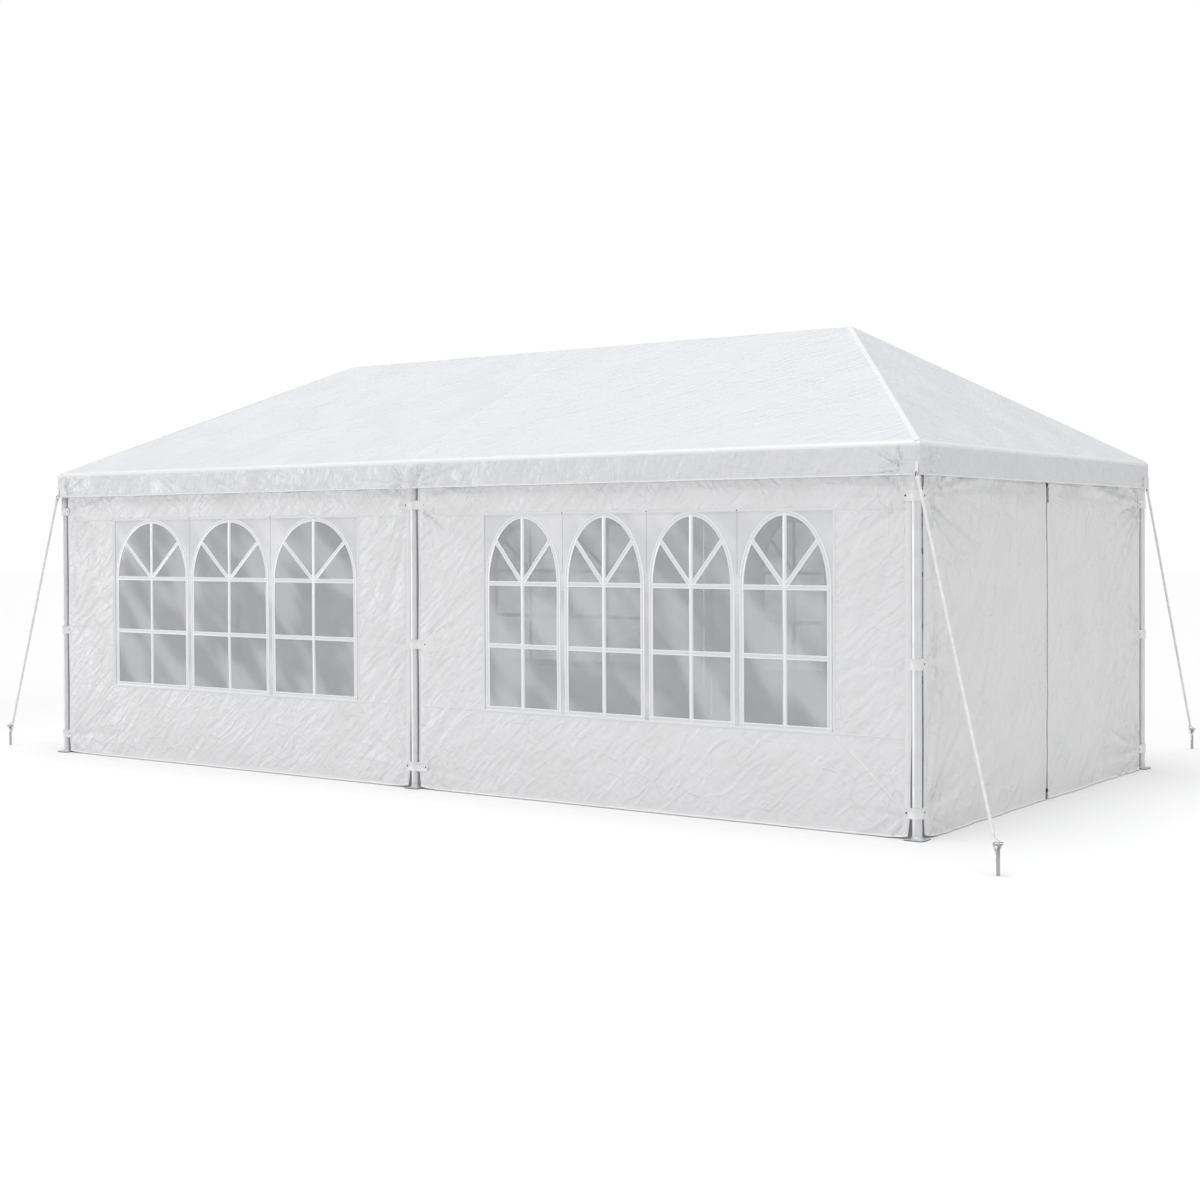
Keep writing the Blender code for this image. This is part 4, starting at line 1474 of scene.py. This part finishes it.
def makeFlap(wall, name, way):
    width = tent["bay"] / 2
    marks = [0.0, 1 - wallSheet["fineReach"] / width, 1.0]
    shares = spaced(marks, [wallSheet["wideStep"] / width, wallSheet["fineStep"] / width])
    rows = spaced([tent["wallFoot"], tent["wallTop"]], [wallSheet["rowStep"]])
    if way < 0:
        shares.reverse()
    columns = [way * share * width + width for share in shares]
    place = {column: share for column, share in zip(columns, shares)}
    bm = makeGrid(wall, columns, rows, lambda s, z: flapSpot(wall, way, place[s], z))
    cloth = makePiece(f"door_flap_{name}", bm, ["door"], [f"door_{name}"])
    thicken(cloth, wallSheet["thick"], "glowLining")
    bm = bmesh.new()
    out, toPost = wall["out"], wall["along"] * way
    foot, top = tent["wallFoot"], tent["wallTop"]
    zs = spaced([foot, top], [trimShapes["step"]])
    sweep(bm, [(flapSpot(wall, way, 0.0, z), toPost, out) for z in zs], pipingShape, finish=1)
    sweep(bm, [(flapSpot(wall, way, 1.0, z), -toPost, out) for z in zs], trimShapes["sideEdging"])
    steps = [k / door["trimSteps"] for k in range(door["trimSteps"] + 1)]
    for shape, z, across, lift, finish in (
        ("edging", foot, upward, 0.0, 0),
        ("edging", top, -upward, 0.0, 0),
        ("roll", foot, upward, trimShapes["rollLift"], 1),
    ):
        line = [(flapSpot(wall, way, t, z, lift), across, out) for t in steps]
        sweep(bm, line, trimShapes[shape], finish=finish)
    trim = makeSolid(f"door_trim_{name}", bm, ["trim", "webbing"])


zipper = {
    "tapeHalf": 0.0122,
    "tapeLift": 0.0002,
    "foot": 0.03,
    "step": 0.03,
    "pitch": 0.0045,
    "tooth": (0.0036, 0.0016, 0.0014),
    "toothAside": 0.0011,
    "toothLift": 0.0014,
    "ends": 0.004,  # no tooth this near to the tape's ends
    "sliders": ((1.628, 0.003), (0.048, 0.0)),  # height, and the way aside
    "slider": (0.0075, 0.0035, 0.011),
    "sliderLift": 0.0036,
    "bridge": (0.0025, 0.0016, 0.006),
    "bridgeLift": 0.0081,
}
chain = {
    "links": 6,
    "top": 1.612,
    "pitch": 0.009,
    "aside": 0.010,
    "sway": 0.001,
    "lift": 0.0061,
    "wide": 0.0032,
    "tall": 0.0054,
    "twist": 0.0012,
    "wire": 0.0011,
    "steps": 12,
    "tabSpot": (0.0105, 1.548),
    "tab": (0.0042, 0.0011, 0.0105),
}


def addBlock(bm, centre, axes, sizes, finish=0, edge=0.0):
    made = bmesh.ops.create_cube(bm, size=2.0)["verts"]
    turn = Matrix(axes).transposed().to_4x4()
    scale = Matrix.Diagonal((*sizes, 1))
    bmesh.ops.transform(bm, matrix=Matrix.Translation(centre) @ turn @ scale, verts=made)
    faces = {face for vert in made for face in vert.link_faces}
    for face in faces:
        face.material_index = finish
    if edge:
        edges = list({side for vert in made for side in vert.link_edges})
        shaped = bmesh.ops.bevel(bm, geom=edges, offset=edge, segments=2, profile=0.5, affect="EDGES")
        for face in shaped["faces"]:
            face.material_index = finish


def addLink(bm, centre, along, out, turn):
    loop = []
    for t in circle(chain["steps"]):
        flat = along * (chain["wide"] * math.cos(t)) + upward * (chain["tall"] * math.sin(t))
        loop.append(centre + flat + out * (chain["twist"] * math.cos(2 * t + turn)))
    stations = []
    for m, point in enumerate(loop):
        ahead = (loop[(m + 1) % len(loop)] - loop[m - 1]).normalized()
        across = ahead.cross(out).normalized()
        stations.append((point, across, across.cross(ahead)))
    sweep(bm, stations, roundProfile(chain["wire"], 6), ring=True)


def makeZip(end, wall):
    along, out = wall["along"], wall["out"]
    axes = (along, out, upward)
    middle = tent["bay"] / 2

    def zipSpot(aside, z, lift):
        # the tape swells out with the flaps on either side of it
        return spotOn(wall, middle + aside, z, tent["wallFace"] + bulgeOf(middle, z) + lift)

    zs = spaced([zipper["foot"], tent["wallTop"]], [zipper["step"]])
    half = zipper["tapeHalf"]
    shape = ((-half, -0.0006), (-half, 0.0004), (half, 0.0004), (half, -0.0006))
    bm = bmesh.new()
    sweep(bm, [(zipSpot(0.0, z, zipper["tapeLift"]), along, out) for z in zs], shape)
    z = zipper["foot"] + zipper["ends"]
    way = 1
    while z < tent["wallTop"] - zipper["ends"]:
        spot = zipSpot(way * zipper["toothAside"], z, zipper["toothLift"])
        addBlock(bm, spot, axes, zipper["tooth"], 1)
        z += zipper["pitch"]
        way = -way
    makeSolid(f"zip_strip_{end}", bm, ["zip", "teeth"], [f"zip_{end}"], 40)
    bm = bmesh.new()
    for z, aside in zipper["sliders"]:
        addBlock(bm, zipSpot(aside, z, zipper["sliderLift"]), axes, zipper["slider"], edge=0.002)
        addBlock(bm, zipSpot(aside, z, zipper["bridgeLift"]), axes, zipper["bridge"], edge=0.001)
    # the pull hangs from the upper slider as a short chain with a tab
    for k in range(chain["links"]):
        aside = chain["aside"] + chain["sway"] * math.sin(k * 2.1)
        link = zipSpot(aside, chain["top"] - k * chain["pitch"], chain["lift"])
        addLink(bm, link, along, out, k)
    addBlock(bm, zipSpot(*chain["tabSpot"], chain["lift"]), axes, chain["tab"], edge=0.001)
    makeSolid(f"zip_sliders_{end}", bm, ["dark"], sharp=40)


for end in ("right", "left"):
    near, far = (("front", "back") if end == "right" else ("back", "front"))
    makeFlap(walls[end], f"{end}_{near}", -1)
    makeFlap(walls[end], f"{end}_{far}", 1)
    makeZip(end, walls[end])
    print("End door", end, "is made")


# Posts: the tube, its foot, three clips and the tab of cloth at the top
post = {
    "radius": 0.0225,
    "top": 1.6647,
    "sides": 32,
    "foot": 0.049,
    "footThick": 0.004,
    "footRound": 0.015,
    "bead": (0.0222, 0.0290, 0.0145),
    "bolt": 0.034,
    "turnSteps": 12,  # of a strap or a tab round the tube
}
clip = {
    "height": 0.025,  # half of the band's height
    "middle": (0.0142, 0.0142, 0.0176),  # each strap's middle, from the post's centre plane
    "radius": 0.0262,
    "ear": 0.060,
    "longEar": 0.100,
    "endEar": 0.082,  # of the back corners, on the end side
    "tucked": 0.0082,  # the middle clip's ear, where it lies behind the cloth
    "round": 0.020,
    "thick": 0.0015,  # half
    "lip": 1.9,  # its rims are this many times thicker
    "rivetIn": 0.014,  # from the end of an ear
    "bend": 0.036,  # where an ear leaves the tube
    "turn": {"corner": (228, 377), "middle": (228, 312)},  # degrees round the tube
}
earsOf = {
    "front_middle": (clip["ear"], clip["longEar"]),
    "back_middle": (clip["ear"], clip["longEar"]),
    "back_right": (clip["endEar"], clip["ear"]),
    "back_left": (clip["ear"], clip["endEar"]),
}
openFirst = ("back_right", "front_left")  # here the first ear holds the open edge of a flap
tab = {
    "low": 1.527,
    "high": 1.662,
    "rows": 14,
    "reach": 0.095,
    "face": 0.0154,
    "bend": 0.034,
    "radius": 0.0236,
    "turn": {"corner": (232, 345), "middle": (232, 335)},
    "slack": 0.0009,
    "slackFrom": 1.58,
    "slackEase": 0.03,
    "thick": 0.0008,
    "flat": {"corner": (0.15, 0.135), "middle": (0.14, 0.135)},
}
posts = {
    "front_right": (3, 0, 0),
    "back_right": (3, 3, 90),
    "back_left": (-3, 3, 180),
    "front_left": (-3, 0, 270),
    "front_middle": (0, 0, 0),
    "back_middle": (0, 3, 180),
}


def turning(x, y, degrees):
    spin = Matrix.Rotation(math.radians(degrees), 4, "Z")
    return Matrix.Translation((x, y, 0)) @ spin


def addLathe(bm, profile, count, centre=(0, 0)):
    x, y = centre
    rings = []
    for radius, z in profile:
        spots = [(x + radius * math.cos(t), y + radius * math.sin(t), z) for t in circle(count)]
        rings.append([bm.verts.new(spot) for spot in spots])
    addSkin(bm, rings)


def makeLeg(name, place):
    bm = bmesh.new()
    radius, top = post["radius"], post["top"]
    profile = [(radius - 0.001, 0.0042), (radius, 0.006)]
    profile += [(radius, 0.006 + (top - 0.008) * k / 24) for k in range(1, 24)]
    profile += [(radius, top - 0.0015), (radius - 0.0012, top)]
    addLathe(bm, profile, post["sides"])
    bmesh.ops.transform(bm, matrix=place, verts=bm.verts)
    makePiece(f"leg_{name}", bm, ["tube"], [f"post_{name}"], 40)


def roundedSquare(half, radius, z):
    steps = 6
    points = []
    for cx, cy, start in ((1, 1, 0), (-1, 1, 90), (-1, -1, 180), (1, -1, 270)):
        for k in range(steps + 1):
            t = math.radians(start + 90 * k / steps)
            x = cx * (half - radius) + radius * math.cos(t)
            y = cy * (half - radius) + radius * math.sin(t)
            points.append((x, y, z))
    return points


def makeFoot(name, place):
    bm = bmesh.new()
    half, thick, turn = post["foot"], post["footThick"], post["footRound"]
    loops = (
        (half - 0.001, turn - 0.001, 0.0),
        (half, turn, 0.0012),
        (half, turn, thick - 0.0012),
        (half - 0.0015, turn - 0.001, thick),
        (half - 0.010, turn - 0.004, thick + 0.0002),
        (half - 0.015, turn - 0.006, thick - 0.0012),
        (half - 0.021, turn - 0.008, thick - 0.0004),
    )
    rings = [[bm.verts.new(p) for p in roundedSquare(h, r, z)] for h, r, z in loops]
    rim = addSkin(bm, rings)[:3 * len(rings[0])]
    for face in rim:
        face.material_index = 1  # the plate's edge is painted dark, a painted shade along its foot
    inner, outer, high = post["bead"]
    bead = [(outer - 0.001, 0.002), (outer, 0.005), (outer - 0.0012, 0.0085), (outer - 0.0042, high - 0.001)]
    addLathe(bm, bead + [(inner + 0.0006, high)], 32)
    for way in (-1, 1):
        centre = (way * post["bolt"], -way * post["bolt"])
        washer = [(0.0098, 0.002), (0.0098, 0.0046), (0.0090, 0.0053)]
        addLathe(bm, washer, 20, centre)
        head = [(0.0072, 0.004), (0.0072, 0.0078), (0.0062, 0.0100), (0.0036, 0.0113), (0.0008, 0.0117)]
        addLathe(bm, head, 12, centre)
    makeSolid(f"foot_{name}", bm, ["steel", "dark"], sharp=35, place=place)


def smoothed(points, rounds):
    for _ in range(rounds):
        cut = [points[0]]
        for p, q in zip(points[:-1], points[1:]):
            cut += [p.lerp(q, 0.25), p.lerp(q, 0.75)]
        points = cut + [points[-1]]
    return points


def roundPost(radius, turn):
    # points round a post, seen from above
    first, last = turn
    steps = post["turnSteps"]
    turns = [math.radians(first + (last - first) * k / steps) for k in range(steps + 1)]
    return [Vector((radius * math.cos(t), radius * math.sin(t), 0)) for t in turns]


def strapPath(kind, first, middle, firstReach, secondReach):
    # seen from above, from one ear round the outside of the tube to the other
    bend = clip["bend"]
    points = [Vector((-firstReach, -first, 0)), Vector((-bend, -first, 0))]
    points += roundPost(clip["radius"], clip["turn"][kind])
    if kind == "corner":
        points += [Vector((middle, bend, 0)), Vector((middle, secondReach, 0))]
    else:
        points += [Vector((bend, -middle, 0)), Vector((secondReach, -middle, 0))]
    return smoothed(points, 2)


def strapStations(points, z):
    runs = runsOf(points)
    found = []
    for (point, ahead), run in zip(headings(points), runs):
        room = min(run, runs[-1] - run)
        tall = 1.0
        if room < clip["round"]:
            tall = max(0.12, math.sqrt(max(0.0, 1 - (1 - room / clip["round"]) ** 2)))
        found.append((point + upward * z, upward * tall, ahead.cross(upward).normalized()))
    return found


def splitEnds(points):
    # more points near both ends, where the ear is rounded off
    found = []
    for index, (p, q) in enumerate(zip(points[:-1], points[1:])):
        found.append(p)
        if index in (0, len(points) - 2):
            cuts = (0.08, 0.2, 0.35, 0.55, 0.75)
            shares = cuts if index == 0 else [1 - c for c in reversed(cuts)]
            found += [p.lerp(q, share) for share in shares]
    return found + [points[-1]]


def makeClips(name, place, kind):
    bm = bmesh.new()
    tall, thick, lip = clip["height"], clip["thick"], clip["thick"] * clip["lip"]
    reach, second = earsOf.get(name, (clip["ear"], clip["ear"]))
    shape = (
        (-tall, -thick), (-tall, thick), (-tall + 0.001, lip), (-tall + 0.004, lip), (-tall + 0.006, thick),
        (tall - 0.006, thick), (tall - 0.004, lip), (tall - 0.001, lip), (tall, thick), (tall, -thick),
    )
    side, front = Vector((1, 0, 0)), Vector((0, -1, 0))
    for z, middle in zip(clipHeights, clip["middle"]):
        tucked = z == clipHeights[1] and name not in openFirst
        first = clip["tucked"] if tucked else middle
        path = strapPath(kind, first, middle, reach, second)
        sweep(bm, strapStations(splitEnds(path), z), shape)
        far = second - clip["rivetIn"]
        spots = [(clip["rivetIn"] - reach, -first, front)]
        spots.append((middle, far, side) if kind == "corner" else (far, -middle, front))
        for x, y, out in spots:
            addRivet(bm, Vector((x, y, z)) + out * thick, out)
    makeSolid(f"clips_{name}", bm, ["clip", "dark"], sharp=40, place=place)


tabHem = (
    (-0.0012, -0.0006), (-0.0012, 0.0014), (0.0012, 0.0022),
    (0.0090, 0.0019), (0.0106, 0.0006), (0.0106, -0.0006),
)


def makeTabHem(name, place, points):
    bm = bmesh.new()
    low = []
    for point, ahead in headings(points):
        low.append((point + upward * tab["low"], upward, ahead.cross(upward).normalized()))
    sweep(bm, low, tabHem)
    zs = spaced([tab["low"], tab["high"]], [0.01])
    side, front = Vector((1, 0, 0)), Vector((0, -1, 0))
    sweep(bm, [(points[0] + upward * z, side, front) for z in zs], tabHem)
    return makeSolid(f"wall_tab_hem_{name}", bm, ["trim"], place=place)


def makeTab(name, place, kind):
    # the wall's top corner laps the post under the highest clip
    bm = bmesh.new()
    points = [Vector((-tab["reach"], -tab["face"], 0)), Vector((-tab["bend"], -tab["face"], 0))]
    points = smoothed(points + roundPost(tab["radius"], tab["turn"][kind]), 2)
    rows = [tab["low"] + (tab["high"] - tab["low"]) * k / tab["rows"] for k in range(tab["rows"] + 1)]
    seed = place.translation.x + place.translation.y
    layer = bm.loops.layers.uv.verify()
    grid = []
    for k, (point, ahead) in enumerate(headings(points)):
        out = ahead.cross(upward).normalized()
        column = []
        for z in rows:
            slack = tab["slack"] * wave(k * 0.6, z * 22, seed)
            loose = eased((z - tab["slackFrom"]) / tab["slackEase"])
            column.append(bm.verts.new(point + upward * z + out * slack * loose))
        grid.append(column)
    for i in range(len(points) - 1):
        for j in range(len(rows) - 1):
            face = bm.faces.new((grid[i][j], grid[i + 1][j], grid[i + 1][j + 1], grid[i][j + 1]))
            for loop in face.loops:
                loop[layer].uv = (loop.vert.co.x, loop.vert.co.z)
    bmesh.ops.transform(bm, matrix=place, verts=bm.verts)
    piece = makePiece(f"wall_tab_{name}", bm, ["wall"])
    thicken(piece, tab["thick"]).modifiers["thickness"].offset = 0
    return piece, makeTabHem(name, place, points)


for spot, (x, y, degrees) in posts.items():
    place = turning(x, y, degrees)
    kind = "middle" if "middle" in spot else "corner"
    makeLeg(spot, place)
    makeFoot(spot, place)
    makeClips(spot, place, kind)
    lap, lapHem = makeTab(spot, place, kind)
print("Posts, feet, clips and tabs are made")


# Guy ropes, with their strap, ring and knot at the top and a hitch on the peg
rope = {
    "radius": 0.007,
    "strands": 5,
    "relief": 0.0007,
    "pitch": 0.042,
    "sides": 20,
    "step": 0.0045,
    "top": 1.700,
    "knee": 1.655,
    "end": 0.104,
    "fromCorner": 0.012,  # the strap is sewn on the long side, this far from the corner
    "side": Vector((0.2, 0.9, 0.31)),  # any way that no rope takes
    "round": 0.044,  # once round it
    "gap": 0.0003,
    "fineStep": 0.004,
    "fineRelief": 0.6,
    "loop": 0.0040,
    "tail": 0.0038,
    "splice": (0.058, 0.0072, 0.0024, 0.004, 0.006),  # up from the end, radius, wire, pitch, first
    "knot": (0.034, 0.0065, 0.0042, 0.006, 0.007),  # down from the knee, and the same
    "ring": (0.0105, 0.0020),
    "strap": (
        (-0.0070, -0.0011), (-0.0070, 0.0009), (-0.0058, 0.0014),
        (0.0058, 0.0014), (0.0070, 0.0009), (0.0070, -0.0011),
    ),
}
peg = {"radius": 0.008, "height": 0.135, "headHalf": 0.021, "headRadius": 0.0065}
pegSpots = {
    "front_right": (3.635, -0.586),
    "front_left": (-3.635, 0.028),
    "back_right": (2.948, 4.131),
    "back_left": (-2.948, 4.131),
}


def addRope(bm, points, radius, relief=1.0):
    # a braided line: its strands cross both ways, so its skin rises and dips along two helices
    count, strands = rope["sides"], rope["strands"]
    runs = runsOf(points)
    rings = []
    for (point, ahead), run in zip(headings(points), runs):
        across = ahead.cross(rope["side"]).normalized()
        lift = across.cross(ahead).normalized()
        wind = 2 * math.pi * run / rope["pitch"]
        ring = []
        for t in circle(count):
            weave = math.sin(strands * t + wind * 2) * math.sin(strands * t - wind * 2)
            r = radius + rope["relief"] * relief * weave - rope["relief"] * 0.5
            ring.append(bm.verts.new(point + across * r * math.cos(t) + lift * r * math.sin(t)))
        rings.append(ring)
    layer = bm.loops.layers.uv.verify()
    for index, face in enumerate(addSkin(bm, rings)):
        k, m = divmod(index, count)
        spots = ((m, runs[k]), (m + 1, runs[k]), (m + 1, runs[k + 1]), (m, runs[k + 1]))
        for loop, (turn, along) in zip(face.loops, spots):
            loop[layer].uv = (turn / count * rope["round"], along)


def finely(points, step):
    found = [points[0]]
    for p, q in zip(points[:-1], points[1:]):
        count = max(1, round((q - p).length / step))
        found += [p.lerp(q, (k + 1) / count) for k in range(count)]
    return found


def addRing(bm, centre, axis, radius, wire):
    side = axis.cross(Vector((0.3, 0.2, 0.9))).normalized()
    other = axis.cross(side).normalized()
    stations = []
    for t in circle(20):
        out = side * math.cos(t) + other * math.sin(t)
        stations.append((centre + out * radius, out, axis))
    sweep(bm, stations, roundProfile(wire, 8), ring=True)


def addTurns(bm, centre, down, radius, wire, pitch, first):
    # three turns of line, one below the other
    for k in range(3):
        addRing(bm, centre + down * (pitch * k - first), down, radius, wire)


def makeRope(name):
    cornerX = math.copysign(tent["bay"], pegSpots[name][0])
    cornerY = 0.0 if name.startswith("front") else tent["width"]
    peak = Vector((*pegSpots[name], 0))
    face = Vector((0, 1 if cornerY else -1, 0))
    lapOut = tent["reach"] - tent["bay"]
    eaveX = cornerX + math.copysign(lapOut - rope["fromCorner"], cornerX)
    eave = Vector((eaveX, cornerY, 0)) + face * lapOut
    hook = eave + face * (rope["radius"] + 0.003)
    back = Vector((hook.x - peak.x, hook.y - peak.y, 0)).normalized()
    foot = peak + back * (peg["radius"] + rope["radius"] + rope["gap"])
    knee = hook + upward * rope["knee"]
    end = foot + upward * rope["end"]
    down = (end - knee).normalized()
    sideways = back.cross(upward).normalized()
    bm = bmesh.new()
    fromKnee, *knotTurns = rope["knot"]
    fromEnd, *spliceTurns = rope["splice"]
    start = knee + down * fromKnee
    splice = end - down * fromEnd
    addRope(bm, finely([start, end - down * 0.055], rope["step"]), rope["radius"])
    # below the splice the line parts into a loop over the peg's head
    head = peak + upward * (peg["height"] - peg["headRadius"])
    for way in (-1, 1):
        line = [
            splice,
            splice.lerp(head, 0.45) + sideways * way * 0.010,
            head + sideways * way * 0.017 + back * 0.004,
            head + sideways * way * 0.015 - upward * 0.016 + back * 0.006,
            head + sideways * way * 0.005 - upward * 0.030 + back * 0.013,
            foot + upward * 0.082,
        ]
        addRope(bm, finely(smoothed(line, 3), rope["fineStep"]), rope["loop"], rope["fineRelief"])
    addTurns(bm, splice, down, *spliceTurns)
    tail = [
        foot + upward * 0.086,
        foot + upward * 0.074 + sideways * 0.002,
        foot + upward * 0.058 + back * 0.003,
    ]
    addRope(bm, finely(smoothed(tail, 2), rope["fineStep"]), rope["tail"], rope["fineRelief"])
    addTurns(bm, start, down, *knotTurns)  # the knot under the ring
    makeSolid(f"rope_{name}", bm, ["rope"], [f"guy_rope_{name}"], 60)
    bm = bmesh.new()
    strapTop = eave + upward * rope["top"] + face * 0.0045
    strapLow = eave + upward * (rope["knee"] - 0.006) + face * 0.0095
    across = face.cross(upward).normalized()
    strap = [(point, across, face) for point in finely([strapTop, strapLow], 0.006)]
    sweep(bm, strap, rope["strap"])
    makeSolid(f"strap_{name}", bm, ["webbing"])
    bm = bmesh.new()
    addRing(bm, knee - upward * 0.012 + face * 0.001, across, *rope["ring"])
    makeSolid(f"ring_{name}", bm, ["dark"], sharp=60)
    makePeg(name, peak, back, sideways)


def makePeg(name, spot, back, sideways):
    bm = bmesh.new()
    radius, height = peg["radius"], peg["height"]
    headZ = height - peg["headRadius"]
    shaft = [(radius - 0.0006, 0.0), (radius, 0.001), (radius, headZ - 0.003), (radius - 0.001, headZ)]
    addLathe(bm, shaft, 20, (spot.x, spot.y))
    centre = spot + upward * headZ
    half = peg["headHalf"]
    ends = [(-half, 0.75), (-half + 0.0015, 1.0), (-0.008, 1.0), (0, 0.96)]
    ends += [(-a, scale) for a, scale in reversed(ends[:-1])]
    stations = [(centre + sideways * a, back * scale, upward * scale) for a, scale in ends]
    sweep(bm, stations, roundProfile(peg["headRadius"], 16))
    # the weld under the head
    bead = ((0.0004, 0.0095), (0.0022, 0.0075), (0.0018, 0.0045), (0.0, 0.0025))
    addLathe(bm, [(radius + out, headZ - low) for out, low in bead], 20, (spot.x, spot.y))
    makeSolid(f"peg_{name}", bm, ["peg"], [f"stake_{name}"], 40)


for spot in pegSpots:
    makeRope(spot)
print("Ropes and pegs are made")


# The frame's own tubes and joints keep their shape and take a finish
def dressFrame():
    for name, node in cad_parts.items():
        finish = None
        if name.startswith(("eave_rail", "hip_rafter", "middle_rafter", "ridge")):
            finish = "tube"
        if name.startswith("eave_joint"):
            finish = "joint"
        if finish:
            node.data.materials.clear()
            node.data.materials.append(materials[finish])


dressFrame()
print("Tubes and joints have their finish")
